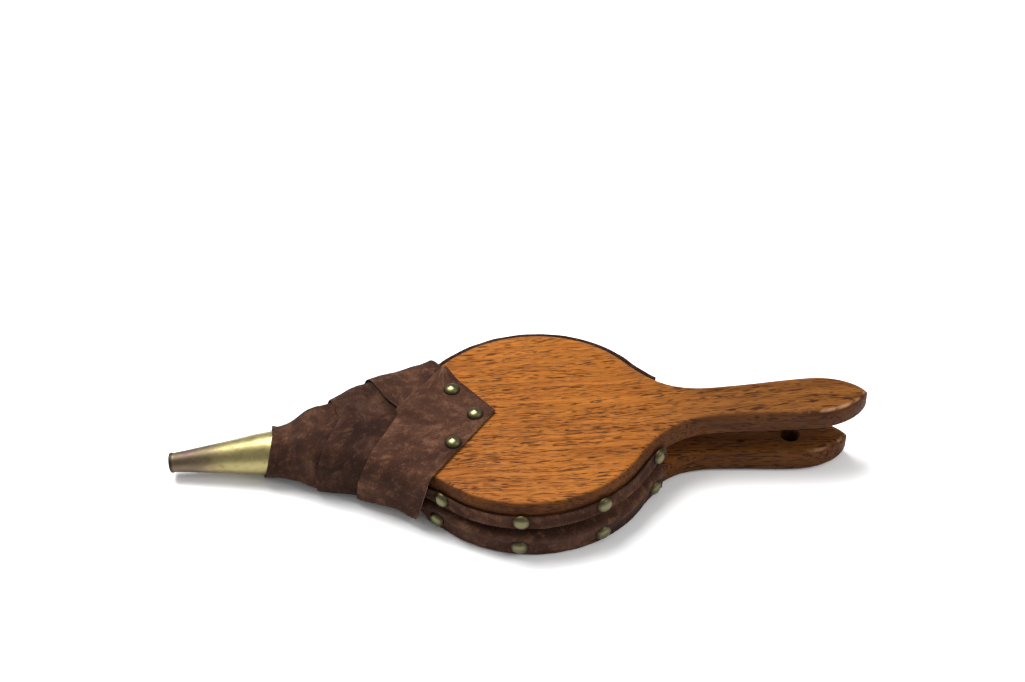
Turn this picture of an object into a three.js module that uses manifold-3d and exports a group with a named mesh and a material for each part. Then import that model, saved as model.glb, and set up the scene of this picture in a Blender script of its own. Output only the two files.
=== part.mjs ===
// Hand bellows for a fireplace: two pear-shaped oak boards with handles, hinged at
// the nose, a leather skin between them, suede bindings round the nose, a brass
// nozzle and dome-headed brass nails. Millimetres, +Z up, nozzle towards -X.
//
// The bench frame used while building has x = 0 at the front face of the nose and
// z = 0 under the bottom board. The last lines move the whole to its own origin.

import * as THREE from 'three';
import { mergeVertices } from 'three/addons/utils/BufferGeometryUtils.js';
import Module from 'manifold-3d';

const wasm = await Module();
wasm.setup();

// ---------------------------------------------------------------- driving sizes

const CLEARANCE = 0.3; // between pieces that touch or pass through each other

// Boards, seen from above
const BOARD_THICKNESS = 16.5;
const BOARD_EDGE_BEVEL = 2;
const DISC_RADIUS = 77.5;
const DISC_CENTRE_X = 152.5;
const SHOULDER_ANGLE = 133; // degrees round the disc where the nose taper begins
const NECK_ANGLE = 35; // degrees round the disc where the neck fillet begins
const NOSE_HALF_WIDTH = 14;
const NECK_HALF_WIDTH = 14.6;
const NECK_BEHIND_DISC = 36.5; // from the back of the disc to the narrowest neck
const HANDLE_HALF_WIDTH = 16.8;
const SWELL_TO_TIP = 34;
const TOP_HANDLE_LENGTH = 95.5; // from the narrowest neck to the tip
const BOTTOM_HANDLE_LENGTH = 87.5;

// Hinge between the boards
const HINGE_X = 30;
const NOSE_SPACE = 2; // between the boards at the hinge
const REST_TILT = 3.1; // degrees that the folded leather holds the boards apart

// Nozzle
const NOZZLE_LENGTH = 74;
const NOZZLE_TIP_RADIUS = 5.5;
const NOZZLE_BASE_RADIUS = 13.6;
const NOZZLE_WALL = 1;
const NOZZLE_DROOP = 5; // degrees
const NOZZLE_AXIS_HEIGHT = 17.1;
const NOZZLE_SEAT_GAP = 1.4;
const SPIGOT_RADIUS = 7.5;
const SPIGOT_LENGTH = 22;

// Leather
const LEATHER = 1.6;
const SKIN_ROLL = 1.2; // how far each roll of the skin stands out
const SKIN_START_X = 24;
const SKIN_EDGE_BELOW_TOP = { near: 8.5, far: 2.6 };
const SKIN_EDGE_ABOVE_TABLE = 1;
const CREASE_SHARE = 0.65; // of the way from the bottom board up to the top board
const WRAP_BULGE = { near: 6, far: 9 }; // how far the bindings stand out over the folded skin
const FAR_BUNCHING = 4; // more where the bindings bunch on the far side
const WRAP_RELIEF = 4.6; // wood planed off under the nose to let the bindings lie
const WRAP_RELIEF_END_X = 90;
const HINGE_LEATHER_HALF_LENGTH = 13;
const HINGE_LEATHER_HALF_WIDTH = 11;

// Holes
const INTAKE_RADIUS = 13;
const HANG_HOLE_RADIUS = 5.7;
const HANG_HOLE_FROM_TIP = 37;
const AIR_CHANNEL_END_X = 72;
const AIR_CHANNEL_HALF_WIDTH = 7;
const AIR_CHANNEL_DEPTH = 6.5;

// Valve
const CLAPPER_RADIUS = 18;
const CLAPPER_THICKNESS = 2.4;
const VALVE_HINGE_LENGTH = 20;
const VALVE_HINGE_HALF_WIDTH = 11;

// Dome-headed nails and small flat tacks
const NAIL_HEAD_RADIUS = 5.2;
const NAIL_HEAD_HEIGHT = 3.4;
const NAIL_SHANK_RADIUS = 1;
const NAIL_SHANK_LENGTH = 13;
const TACK_HEAD_RADIUS = 2.6;
const TACK_HEAD_HEIGHT = 0.9;
const TACK_SHANK_LENGTH = 7;
// Shares of the way from nose to neck
const TOP_NAIL_PLACES = [0.349, 0.518, 0.682, 0.852];
const BOTTOM_NAIL_PLACES = [0.338, 0.516, 0.684, 0.848];
const TOP_NAIL_BELOW_FACE = 12;
const BOTTOM_NAIL_HEIGHT = 8;
const FLAP_NAIL_CENTRE_Y = 1.5;
const FLAP_NAIL_SPREAD = 24; // between the middle nail and each outer one, across
const FLAP_NAIL_STEP = 14; // the outer ones sit this far forward of the middle one
const FLAP_NAIL_FROM_POINT = 12.5;
const WRAP_TACK_X = 61; // under the nose, where the outer bindings meet
const WRAP_TACK_WIDTHS = [8, 22];

// Bindings round the nose: where each edge stands on the centre line, and how fast
// it runs forward per millimetre of the way round, first on top, then down the side
const WRAP_CENTRE_Y = 4;
const FRONT_WRAP_EDGE_X = -12;
const MIDDLE_WRAP_EDGE = { apex: 34, top: 0.42, turn: 36, side: 0 };
const OUTER_WRAP_EDGE = { apex: 70, top: 0.55, turn: 46, side: 0.1 };
const FLAP_EDGE = { apex: 130.5, top: 0.76, turn: 56, side: 0.32 };
const WRAP_OVERLAP = 9; // each binding lies this far over the one before it
const CROSSING = { y: 8, slope: 0.8 }; // line on top where the near band covers the far one
const CROSSING_END_Y = 39;

// ------------------------------------------------------------------- materials

const finish = (color, roughness, metalness = 0) => ({ color, roughness, metalness });
const OAK = finish(0xb8742f, 0.5);
const OAK_DARK = finish(0x8a5227, 0.55);
const SUEDE = finish(0x5f3f30, 0.95);
const SUEDE_DARK = finish(0x47302a, 0.95);
const BRASS = finish(0xa3914f, 0.4, 1);
const ANTIQUE_BRASS = finish(0x9a9460, 0.3, 1);

// -------------------------------------------------------------- solid modelling

const degrees = THREE.MathUtils.degToRad;
const mix = THREE.MathUtils.lerp;
const smooth = THREE.MathUtils.smoothstep;

// A closed geometry with shared corners and its faces pointing out.
function closed(geometry) {
  const bare = geometry.clone();
  for (const name of ['normal', 'uv']) bare.deleteAttribute(name);
  const merged = mergeVertices(bare, 1e-4);
  const index = merged.getIndex().array;
  const position = merged.getAttribute('position');
  const [a, b, c] = [new THREE.Vector3(), new THREE.Vector3(), new THREE.Vector3()];
  const kept = [];
  let volume = 0;
  for (let i = 0; i < index.length; i += 3) {
    const corners = [index[i], index[i + 1], index[i + 2]];
    if (new Set(corners).size < 3) continue;
    a.fromBufferAttribute(position, corners[0]);
    b.fromBufferAttribute(position, corners[1]);
    c.fromBufferAttribute(position, corners[2]);
    volume += a.dot(b.cross(c));
    kept.push(corners);
  }
  merged.setIndex(kept.flatMap((corners) => (volume < 0 ? corners.reverse() : corners)));
  return merged;
}

function toSolid(geometry, matrix = new THREE.Matrix4()) {
  const shell = closed(geometry.clone().applyMatrix4(matrix));
  return new wasm.Manifold(new wasm.Mesh({
    numProp: 3,
    vertProperties: new Float32Array(shell.getAttribute('position').array),
    triVerts: new Uint32Array(shell.getIndex().array),
  }));
}

function fromSolid(solid) {
  const data = solid.getMesh();
  const geometry = new THREE.BufferGeometry();
  geometry.setAttribute('position', new THREE.BufferAttribute(data.vertProperties, 3));
  geometry.setIndex(new THREE.BufferAttribute(data.triVerts, 1));
  return geometry;
}

const without = (solid, cutters) => cutters.reduce((left, cutter) => left.subtract(cutter), solid);

function mesh(name, geometry, surface) {
  const shaded = geometry.index ? geometry.toNonIndexed() : geometry.clone();
  shaded.computeVertexNormals();
  const made = new THREE.Mesh(shaded, new THREE.MeshStandardMaterial(surface));
  made.name = name;
  return made;
}

// A profile in the X-Z plane, drawn out to both sides of the centre line.
function acrossPlate(profile, halfWidth) {
  const shape = new THREE.Shape(profile.map(([x, z]) => new THREE.Vector2(x, z)));
  return new THREE.ExtrudeGeometry(shape, { depth: 2 * halfWidth, bevelEnabled: false })
    .rotateX(Math.PI / 2)
    .translate(0, halfWidth, 0);
}

const boxSolid = (low, high) => toSolid(
  new THREE.BoxGeometry(high[0] - low[0], high[1] - low[1], high[2] - low[2])
    .translate((low[0] + high[0]) / 2, (low[1] + high[1]) / 2, (low[2] + high[2]) / 2),
);

const cylinderAlongZ = (radius, x, y, low, high, sides = 28) => toSolid(
  new THREE.CylinderGeometry(radius, radius, high - low, sides)
    .rotateX(Math.PI / 2)
    .translate(x, y, (low + high) / 2),
);

// Joins rings of points into a closed skin. With loop set, each ring closes on itself.
function gridSolid(outer, inner, loop) {
  const rows = outer.length;
  const columns = outer[0].length;
  const points = [...outer.flat(), ...inner.flat()];
  const at = (layer, row, column) => layer * rows * columns + row * columns + (column % columns);
  const faces = [];
  const quad = (a, b, c, d) => faces.push(a, b, c, a, c, d);
  const spans = loop ? columns : columns - 1;
  for (let row = 0; row < rows - 1; row += 1) {
    for (let column = 0; column < spans; column += 1) {
      quad(at(0, row, column), at(0, row + 1, column), at(0, row + 1, column + 1), at(0, row, column + 1));
      quad(at(1, row, column), at(1, row, column + 1), at(1, row + 1, column + 1), at(1, row + 1, column));
    }
  }
  for (let column = 0; column < spans; column += 1) {
    quad(at(0, 0, column), at(0, 0, column + 1), at(1, 0, column + 1), at(1, 0, column));
    quad(at(0, rows - 1, column), at(1, rows - 1, column), at(1, rows - 1, column + 1), at(0, rows - 1, column + 1));
  }
  if (!loop) {
    for (let row = 0; row < rows - 1; row += 1) {
      quad(at(0, row, 0), at(1, row, 0), at(1, row + 1, 0), at(0, row + 1, 0));
      const end = columns - 1;
      quad(at(0, row, end), at(0, row + 1, end), at(1, row + 1, end), at(1, row, end));
    }
  }
  const geometry = new THREE.BufferGeometry().setFromPoints(points);
  geometry.setIndex(faces);
  return geometry;
}

// A solid through a list of closed rings, with flat ends.
function loftSolid(rings) {
  const count = rings[0].length;
  const points = rings.flat();
  const faces = [];
  for (let row = 0; row < rings.length - 1; row += 1) {
    for (let i = 0; i < count; i += 1) {
      const next = (i + 1) % count;
      const [a, b] = [row * count + i, row * count + next];
      faces.push(a, b, b + count, a, b + count, a + count);
    }
  }
  const last = (rings.length - 1) * count;
  const flat = (ring) => {
    const normal = new THREE.Vector3();
    const centre = ring[0];
    for (let i = 1; i < count - 1; i += 1) {
      const one = ring[i].clone().sub(centre);
      normal.add(one.cross(ring[i + 1].clone().sub(centre)));
    }
    const turn = new THREE.Quaternion().setFromUnitVectors(normal.normalize(), new THREE.Vector3(0, 0, 1));
    return ring.map((point) => point.clone().applyQuaternion(turn)).map(({ x, y }) => new THREE.Vector2(x, y));
  };
  for (const [a, b, c] of THREE.ShapeUtils.triangulateShape(flat(rings[0]), [])) faces.push(a, c, b);
  for (const [a, b, c] of THREE.ShapeUtils.triangulateShape(flat(rings.at(-1)), [])) {
    faces.push(last + a, last + b, last + c);
  }
  const geometry = new THREE.BufferGeometry().setFromPoints(points);
  geometry.setIndex(faces);
  return geometry;
}

// --------------------------------------------------------------- board outlines

const NECK_X = DISC_CENTRE_X + DISC_RADIUS + NECK_BEHIND_DISC;
const TOP_TIP_X = NECK_X + TOP_HANDLE_LENGTH;
const BOTTOM_TIP_X = NECK_X + BOTTOM_HANDLE_LENGTH;

// One side of a board from nose to handle tip, as x and half-width.
function halfOutline(tipX) {
  const shoulder = degrees(SHOULDER_ANGLE);
  const neck = degrees(NECK_ANGLE);
  const onDisc = (angle) => [
    DISC_CENTRE_X + DISC_RADIUS * Math.cos(angle),
    DISC_RADIUS * Math.sin(angle),
  ];
  const [shoulderX, shoulderY] = onDisc(shoulder);
  const [rootX, rootY] = onDisc(neck);
  const reach = 0.36 * shoulderX;
  const fillet = 0.48 * (NECK_X - rootX);
  const swellX = tipX - SWELL_TO_TIP;
  const path = new THREE.Path();
  path.moveTo(0, NOSE_HALF_WIDTH);
  path.bezierCurveTo(
    reach, NOSE_HALF_WIDTH + 0.15 * reach,
    shoulderX - reach * Math.sin(shoulder), shoulderY + reach * Math.cos(shoulder),
    shoulderX, shoulderY,
  );
  path.absarc(DISC_CENTRE_X, 0, DISC_RADIUS, shoulder, neck, true);
  path.bezierCurveTo(
    rootX + fillet * Math.sin(neck), rootY - fillet * Math.cos(neck),
    NECK_X - fillet, NECK_HALF_WIDTH,
    NECK_X, NECK_HALF_WIDTH,
  );
  path.bezierCurveTo(
    mix(NECK_X, swellX, 0.4), NECK_HALF_WIDTH,
    mix(NECK_X, swellX, 0.7), HANDLE_HALF_WIDTH,
    swellX, HANDLE_HALF_WIDTH,
  );
  path.bezierCurveTo(
    mix(swellX, tipX, 0.5), HANDLE_HALF_WIDTH,
    mix(swellX, tipX, 0.88), 0.5 * HANDLE_HALF_WIDTH,
    tipX, 0,
  );
  return path.getPoints(10).filter((point, i, all) => i === 0 || point.distanceTo(all[i - 1]) > 0.01);
}

const OUTLINE = halfOutline(TOP_TIP_X);

function halfWidth(x) {
  const i = Math.max(1, OUTLINE.findIndex((point) => point.x >= x));
  const [a, b] = [OUTLINE[i - 1], OUTLINE[i]];
  return mix(a.y, b.y, THREE.MathUtils.clamp((x - a.x) / (b.x - a.x), 0, 1));
}

// The point and outward normal a given share of the way from nose to neck.
function outlineAt(share) {
  const lengths = [0];
  for (let i = 1; i < OUTLINE.length; i += 1) {
    lengths.push(lengths[i - 1] + OUTLINE[i].distanceTo(OUTLINE[i - 1]));
  }
  const toNeck = lengths[OUTLINE.findIndex((point) => point.x > NECK_X - 0.01)];
  const wanted = share * toNeck;
  const i = Math.max(1, lengths.findIndex((length) => length >= wanted));
  const [a, b] = [OUTLINE[i - 1], OUTLINE[i]];
  const point = a.clone().lerp(b, (wanted - lengths[i - 1]) / (lengths[i] - lengths[i - 1]));
  const along = b.clone().sub(a).normalize();
  return { point, normal: new THREE.Vector2(-along.y, along.x) };
}

function boardPlate(tipX) {
  const half = halfOutline(tipX);
  const other = half.slice(0, -1).reverse().map(({ x, y }) => new THREE.Vector2(x, -y));
  const plate = new THREE.ExtrudeGeometry(new THREE.Shape([...half, ...other]), {
    depth: BOARD_THICKNESS - 2 * BOARD_EDGE_BEVEL,
    bevelThickness: BOARD_EDGE_BEVEL,
    bevelSize: BOARD_EDGE_BEVEL,
    bevelOffset: -BOARD_EDGE_BEVEL,
    bevelSegments: 1,
  });
  return plate.translate(0, 0, BOARD_EDGE_BEVEL);
}

// ------------------------------------------------------------- places and heights

const NOSE_TOP = 2 * BOARD_THICKNESS + NOSE_SPACE;
const tiltRise = Math.tan(degrees(REST_TILT));
const topFaceHeight = (x) => NOSE_TOP + Math.max(0, x - HINGE_X) * tiltRise;

const topFrame = new THREE.Group();
topFrame.position.set(HINGE_X, 0, NOSE_TOP);
topFrame.rotation.y = -degrees(REST_TILT);
topFrame.updateMatrix();

const nozzleFrame = new THREE.Group();
nozzleFrame.position.set(0, 0, NOZZLE_AXIS_HEIGHT);
nozzleFrame.rotation.y = -degrees(NOZZLE_DROOP);
nozzleFrame.updateMatrix();

// --------------------------------------------------------- the form under the bindings

// The form has reached the top board's face before the hinge leather begins.
const NOSE_GROWN_X = HINGE_X - HINGE_LEATHER_HALF_LENGTH - 3;

// The rounded body of the nose at station x: it starts as the nozzle's round base
// and grows into a box that takes in both boards and the folded skin.
function noseForm(x, side) {
  const axis = NOZZLE_AXIS_HEIGHT + x * Math.tan(degrees(NOZZLE_DROOP));
  const round = NOZZLE_BASE_RADIUS + CLEARANCE;
  const grown = smooth(x, 0, SKIN_START_X);
  const bunched = FAR_BUNCHING * (1 - smooth(x, 70, 90));
  const bulge = side > 0
    ? (WRAP_BULGE.far + bunched) * smooth(x, SKIN_START_X - 2, 46)
    : WRAP_BULGE.near * smooth(x, SKIN_START_X, 82);
  const board = halfWidth(x);
  const boxed = board + CLEARANCE + LEATHER + SKIN_ROLL + CLEARANCE + bulge;
  const half = mix(round, boxed, grown);
  const top = mix(axis + round, topFaceHeight(x), smooth(x, 0, NOSE_GROWN_X));
  const bottom = mix(axis - round, WRAP_RELIEF, smooth(x, 0, 10));
  return {
    half,
    top,
    bottom,
    cornerAcross: mix(half, Math.min(half - board + 0.5, 11), grown),
    cornerDown: mix((top - bottom) / 2, 7, grown),
  };
}

const ARC_STEPS = 5;

// One side of the form's section from top centre to bottom centre, set out by offset.
function halfSection(x, offset, side) {
  const form = noseForm(x, side);
  const half = form.half + offset;
  const top = form.top + offset;
  const bottom = form.bottom - offset;
  const across = form.cornerAcross + offset;
  const down = form.cornerDown + offset;
  const points = [[0, top]];
  for (const [centreZ, from] of [[top - down, Math.PI / 2], [bottom + down, 0]]) {
    for (let i = 0; i <= ARC_STEPS; i += 1) {
      const angle = from - (i / ARC_STEPS) * (Math.PI / 2);
      points.push([half - across + across * Math.cos(angle), centreZ + down * Math.sin(angle)]);
    }
  }
  points.push([0, bottom]);
  return points;
}

function alongSection(points, share) {
  const lengths = [0];
  for (let i = 1; i < points.length; i += 1) {
    lengths.push(lengths[i - 1] + Math.hypot(points[i][0] - points[i - 1][0], points[i][1] - points[i - 1][1]));
  }
  const total = lengths.at(-1);
  const wanted = THREE.MathUtils.clamp(share, 0, 1) * total;
  const i = Math.max(1, lengths.findIndex((length) => length >= wanted - 1e-9));
  const t = (wanted - lengths[i - 1]) / Math.max(lengths[i] - lengths[i - 1], 1e-9);
  return {
    y: mix(points[i - 1][0], points[i][0], t),
    z: mix(points[i - 1][1], points[i][1], t),
    total,
  };
}

// A point on the form: turn runs from -1 (under the nose by the near side) through
// 0 (top centre) to 1 (under the nose by the far side).
function onForm(x, turn, offset) {
  const { y, z } = alongSection(halfSection(x, offset, Math.sign(turn)), Math.abs(turn));
  return new THREE.Vector3(x, Math.sign(turn) * y, z);
}

// Signed distance round the form from the bindings' own centre line.
const wayRound = (x, turn) => (
  turn * alongSection(halfSection(x, 0, Math.sign(turn)), 1).total - WRAP_CENTRE_Y
);

function edgeX(edge, turn) {
  let x = edge.apex;
  for (let i = 0; i < 12; i += 1) {
    const way = Math.abs(wayRound(x, turn));
    x = mix(x, edge.apex - edge.top * Math.min(way, edge.turn) - edge.side * Math.max(way - edge.turn, 0), 0.7);
  }
  return x;
}

// The front edge of the near outer band: the bindings' common edge on its own side,
// and the crossing line where it lies over the far band.
function crossingX(turn) {
  let x = OUTER_WRAP_EDGE.apex;
  for (let i = 0; i < 12; i += 1) {
    const beyond = wayRound(x, turn) + WRAP_CENTRE_Y - CROSSING.y;
    x = mix(x, OUTER_WRAP_EDGE.apex + CROSSING.slope * beyond, 0.5);
  }
  return x;
}

// A binding as a sheet on the form. It starts on top of the sheet in front of it,
// and steps down to the form once past that sheet's end.
function binding({ turns, frontX, backX, rows, raisedFor, loop }) {
  const raised = LEATHER + 3.2 * CLEARANCE;
  const layer = (lift) => Array.from({ length: rows + 1 }, (_, row) => turns.map((turn) => {
    const [from, to] = [frontX(turn), backX(turn)];
    const x = mix(from, to, row / rows);
    const step = raised * (1 - smooth(x - from, raisedFor, raisedFor + 6));
    return onForm(x, turn, CLEARANCE + lift + (raisedFor > 0 ? step : 0));
  }));
  return gridSolid(layer(LEATHER), layer(0), loop);
}

const turnsBetween = (from, to, steps) => Array.from({ length: steps + 1 }, (_, i) => mix(from, to, i / steps));
const ringTurns = turnsBetween(-1, 1, 34).slice(0, -1);

// ------------------------------------------------------------------------- nails

function nailGeometry() {
  const dome = Array.from({ length: 5 }, (_, i) => {
    const angle = (i / 4) * (Math.PI / 2);
    return new THREE.Vector2(NAIL_HEAD_RADIUS * Math.cos(angle), NAIL_HEAD_HEIGHT * Math.sin(angle));
  });
  dome[4].x = 0;
  return new THREE.LatheGeometry([
    new THREE.Vector2(0, -NAIL_SHANK_LENGTH),
    new THREE.Vector2(NAIL_SHANK_RADIUS, -NAIL_SHANK_LENGTH + 3),
    new THREE.Vector2(NAIL_SHANK_RADIUS, 0),
    ...dome,
  ], 12);
}

function tackGeometry() {
  return new THREE.LatheGeometry([
    new THREE.Vector2(0, -TACK_SHANK_LENGTH),
    new THREE.Vector2(0.7, -TACK_SHANK_LENGTH + 2),
    new THREE.Vector2(0.7, 0),
    new THREE.Vector2(TACK_HEAD_RADIUS, 0),
    new THREE.Vector2(0.7 * TACK_HEAD_RADIUS, TACK_HEAD_HEIGHT),
    new THREE.Vector2(0, TACK_HEAD_HEIGHT),
  ], 10);
}

// Turns a fastener, made along +Y, to point along a direction, and sets it in place.
function drive(piece, place, direction) {
  piece.position.copy(place);
  piece.quaternion.setFromUnitVectors(new THREE.Vector3(0, 1, 0), direction.clone().normalize());
  piece.updateMatrix();
  return piece;
}

// The hole that a fastener's shank needs, in the frame that its matrix is given in.
function shankHole(piece, length, radius, frame = new THREE.Matrix4()) {
  const drill = new THREE.CylinderGeometry(radius + CLEARANCE, radius + CLEARANCE, length + 3, 6);
  drill.translate(0, -(length + 3) / 2 + 2, 0);
  return toSolid(drill, frame.clone().multiply(piece.matrix));
}

const nailHole = (piece, frame) => shankHole(piece, NAIL_SHANK_LENGTH, NAIL_SHANK_RADIUS, frame);
const tackHole = (piece, frame) => shankHole(piece, TACK_SHANK_LENGTH, 0.7, frame);

// The dimple that a dome head presses into the leather under its rim.
function headDimple(piece, frame = new THREE.Matrix4()) {
  const radius = NAIL_HEAD_RADIUS + CLEARANCE;
  const press = new THREE.CylinderGeometry(radius, radius, 2 * NAIL_HEAD_HEIGHT, 14);
  press.translate(0, NAIL_HEAD_HEIGHT - 0.2, 0);
  return toSolid(press, frame.clone().multiply(piece.matrix));
}

const SIDES = [['near', -1], ['far', 1]];
const nailSeat = CLEARANCE + LEATHER + CLEARANCE; // head's underside off the wood

function edgeNails(board, places, height, shiftX) {
  return SIDES.flatMap(([sideName, side]) => places.map((share, i) => {
    const { point, normal } = outlineAt(share);
    const out = new THREE.Vector3(normal.x, side * normal.y, 0);
    const seat = new THREE.Vector3(point.x - shiftX, side * point.y, height).addScaledVector(out, nailSeat);
    return drive(mesh(`${board}_nail_${sideName}_${i + 1}`, nailGeometry(), ANTIQUE_BRASS), seat, out);
  }));
}

const up = new THREE.Vector3(0, 0, 1);
const downward = new THREE.Vector3(0, 0, -1);
const topNails = edgeNails('top', TOP_NAIL_PLACES, -TOP_NAIL_BELOW_FACE, HINGE_X);
const bottomNails = edgeNails('bottom', BOTTOM_NAIL_PLACES, BOTTOM_NAIL_HEIGHT, 0);

const flapNails = [1, 0, -1].map((across, i) => {
  const x = FLAP_EDGE.apex - FLAP_NAIL_FROM_POINT - Math.abs(across) * FLAP_NAIL_STEP - HINGE_X;
  const seat = new THREE.Vector3(x, FLAP_NAIL_CENTRE_Y + across * FLAP_NAIL_SPREAD, nailSeat);
  return drive(mesh(`flap_nail_${i + 1}`, nailGeometry(), ANTIQUE_BRASS), seat, up);
});

const wrapTacks = SIDES.flatMap(([sideName, side]) => WRAP_TACK_WIDTHS.map((y, i) => {
  const seat = new THREE.Vector3(WRAP_TACK_X, side * y, WRAP_RELIEF - nailSeat);
  return drive(mesh(`wrap_tack_${sideName}_${i + 1}`, tackGeometry(), BRASS), seat, downward);
}));

const valveTackX = DISC_CENTRE_X - CLAPPER_RADIUS - 8;
const valveTacks = [-1, 1].map((side, i) => {
  const seat = new THREE.Vector3(valveTackX, side * 6, BOARD_THICKNESS + LEATHER + CLEARANCE);
  return drive(mesh(`valve_tack_${i + 1}`, tackGeometry(), BRASS), seat, up);
});

// ------------------------------------------------------------------ nose and nozzle

function noseFormSolid(fromX, toX) {
  const stations = Math.round((toX - fromX) / 5);
  const rings = Array.from({ length: stations + 1 }, (_, i) => {
    const x = mix(fromX, toX, i / stations);
    const far = halfSection(x, -4.5 * CLEARANCE, 1);
    const near = halfSection(x, -4.5 * CLEARANCE, -1).slice(1, -1).reverse().map(([y, z]) => [-y, z]);
    return [...far, ...near].map(([y, z]) => new THREE.Vector3(x, y, z));
  });
  return toSolid(loftSolid(rings));
}

const socketCutter = toSolid(
  new THREE.CylinderGeometry(SPIGOT_RADIUS + CLEARANCE, SPIGOT_RADIUS + CLEARANCE, 2 * HINGE_X + 4, 24)
    .rotateZ(Math.PI / 2),
  nozzleFrame.matrix,
);

function nozzle() {
  const lip = NOZZLE_TIP_RADIUS + 0.3;
  const bore = NOZZLE_BASE_RADIUS - NOZZLE_WALL;
  const collar = -FRONT_WRAP_EDGE_X;
  const profile = [
    [SPIGOT_RADIUS - NOZZLE_WALL, -SPIGOT_LENGTH],
    [SPIGOT_RADIUS, -SPIGOT_LENGTH],
    [SPIGOT_RADIUS, NOZZLE_SEAT_GAP],
    [NOZZLE_BASE_RADIUS, NOZZLE_SEAT_GAP],
    [NOZZLE_BASE_RADIUS, collar],
    [lip + 0.9, NOZZLE_LENGTH - 9],
    [lip, NOZZLE_LENGTH - 1],
    [NOZZLE_TIP_RADIUS, NOZZLE_LENGTH],
    [NOZZLE_TIP_RADIUS - NOZZLE_WALL, NOZZLE_LENGTH],
    [lip + 0.9 - NOZZLE_WALL, NOZZLE_LENGTH - 9],
    [bore, collar],
    [bore, NOZZLE_SEAT_GAP + NOZZLE_WALL],
    [SPIGOT_RADIUS - NOZZLE_WALL, NOZZLE_SEAT_GAP + NOZZLE_WALL],
  ].map(([radius, along]) => new THREE.Vector2(radius, along));
  const turned = new THREE.LatheGeometry([...profile, profile[0]], 24).rotateZ(Math.PI / 2);
  return mesh('nozzle', closed(turned), BRASS);
}

function hingeRebate() {
  const depth = LEATHER + 0.1;
  const [length, width] = [HINGE_LEATHER_HALF_LENGTH + CLEARANCE, HINGE_LEATHER_HALF_WIDTH + CLEARANCE];
  return { depth, length, width };
}

function noseBlock() {
  const rebate = hingeRebate();
  const blank = boxSolid(
    [0, -2 * DISC_RADIUS, BOARD_THICKNESS],
    [HINGE_X - 0.4, 2 * DISC_RADIUS, NOSE_TOP],
  );
  const outline = toSolid(boardPlate(TOP_TIP_X).scale(1, 1, 4).translate(0, 0, -BOARD_THICKNESS));
  const cutForHinge = boxSolid(
    [HINGE_X - rebate.length, -rebate.width, NOSE_TOP - rebate.depth],
    [HINGE_X + 1, rebate.width, NOSE_TOP + 1],
  );
  const block = blank.intersect(outline).intersect(noseFormSolid(-2, 40));
  return mesh('nose_block', fromSolid(without(block, [socketCutter, cutForHinge])), OAK_DARK);
}

function hingeLeather() {
  const depth = hingeRebate().depth;
  const [low, high] = [NOSE_TOP - depth + 0.05, NOSE_TOP - 0.1];
  const rise = HINGE_LEATHER_HALF_LENGTH * tiltRise;
  const profile = [
    [HINGE_X - HINGE_LEATHER_HALF_LENGTH, low],
    [HINGE_X, low],
    [HINGE_X + HINGE_LEATHER_HALF_LENGTH, low + rise],
    [HINGE_X + HINGE_LEATHER_HALF_LENGTH, high + rise],
    [HINGE_X, high],
    [HINGE_X - HINGE_LEATHER_HALF_LENGTH, high],
  ];
  return mesh('hinge_leather', acrossPlate(profile, HINGE_LEATHER_HALF_WIDTH), SUEDE_DARK);
}

// ------------------------------------------------------------------------- boards

function bottomBoard() {
  const plate = toSolid(boardPlate(BOTTOM_TIP_X));
  const far = 2 * DISC_RADIUS;
  const noseWaste = boxSolid([-5, -far, -5], [WRAP_RELIEF_END_X, far, BOARD_THICKNESS + 5])
    .subtract(noseFormSolid(-6, WRAP_RELIEF_END_X + 4));
  const channel = toSolid(acrossPlate([
    [SPIGOT_LENGTH, BOARD_THICKNESS + 5],
    [SPIGOT_LENGTH, BOARD_THICKNESS - AIR_CHANNEL_DEPTH],
    [mix(SPIGOT_LENGTH, AIR_CHANNEL_END_X, 0.6), BOARD_THICKNESS - AIR_CHANNEL_DEPTH],
    [AIR_CHANNEL_END_X, BOARD_THICKNESS + 0.5],
    [AIR_CHANNEL_END_X, BOARD_THICKNESS + 5],
  ], AIR_CHANNEL_HALF_WIDTH));
  const through = [-2, BOARD_THICKNESS + 2];
  const cut = without(plate, [
    noseWaste,
    channel,
    socketCutter,
    cylinderAlongZ(INTAKE_RADIUS, DISC_CENTRE_X, 0, ...through),
    cylinderAlongZ(HANG_HOLE_RADIUS, BOTTOM_TIP_X - HANG_HOLE_FROM_TIP, 0, ...through, 20),
    ...bottomNails.map((nail) => nailHole(nail)),
    ...wrapTacks.map((tack) => tackHole(tack)),
    ...valveTacks.map((tack) => tackHole(tack)),
  ]);
  return mesh('bottom_board', fromSolid(cut), OAK);
}

function topBoard() {
  const rebate = hingeRebate();
  const plate = toSolid(boardPlate(TOP_TIP_X).translate(-HINGE_X, 0, -BOARD_THICKNESS));
  const far = 2 * DISC_RADIUS;
  const cut = without(plate, [
    boxSolid([-HINGE_X - 5, -far, -BOARD_THICKNESS - 5], [0.4, far, 5]),
    boxSolid([-1, -rebate.width, -rebate.depth], [rebate.length, rebate.width, 1]),
    ...topNails.map((nail) => nailHole(nail)),
    ...flapNails.map((nail) => nailHole(nail)),
  ]);
  return mesh('top_board', fromSolid(cut), OAK);
}

// -------------------------------------------------------------------------- skin

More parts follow.
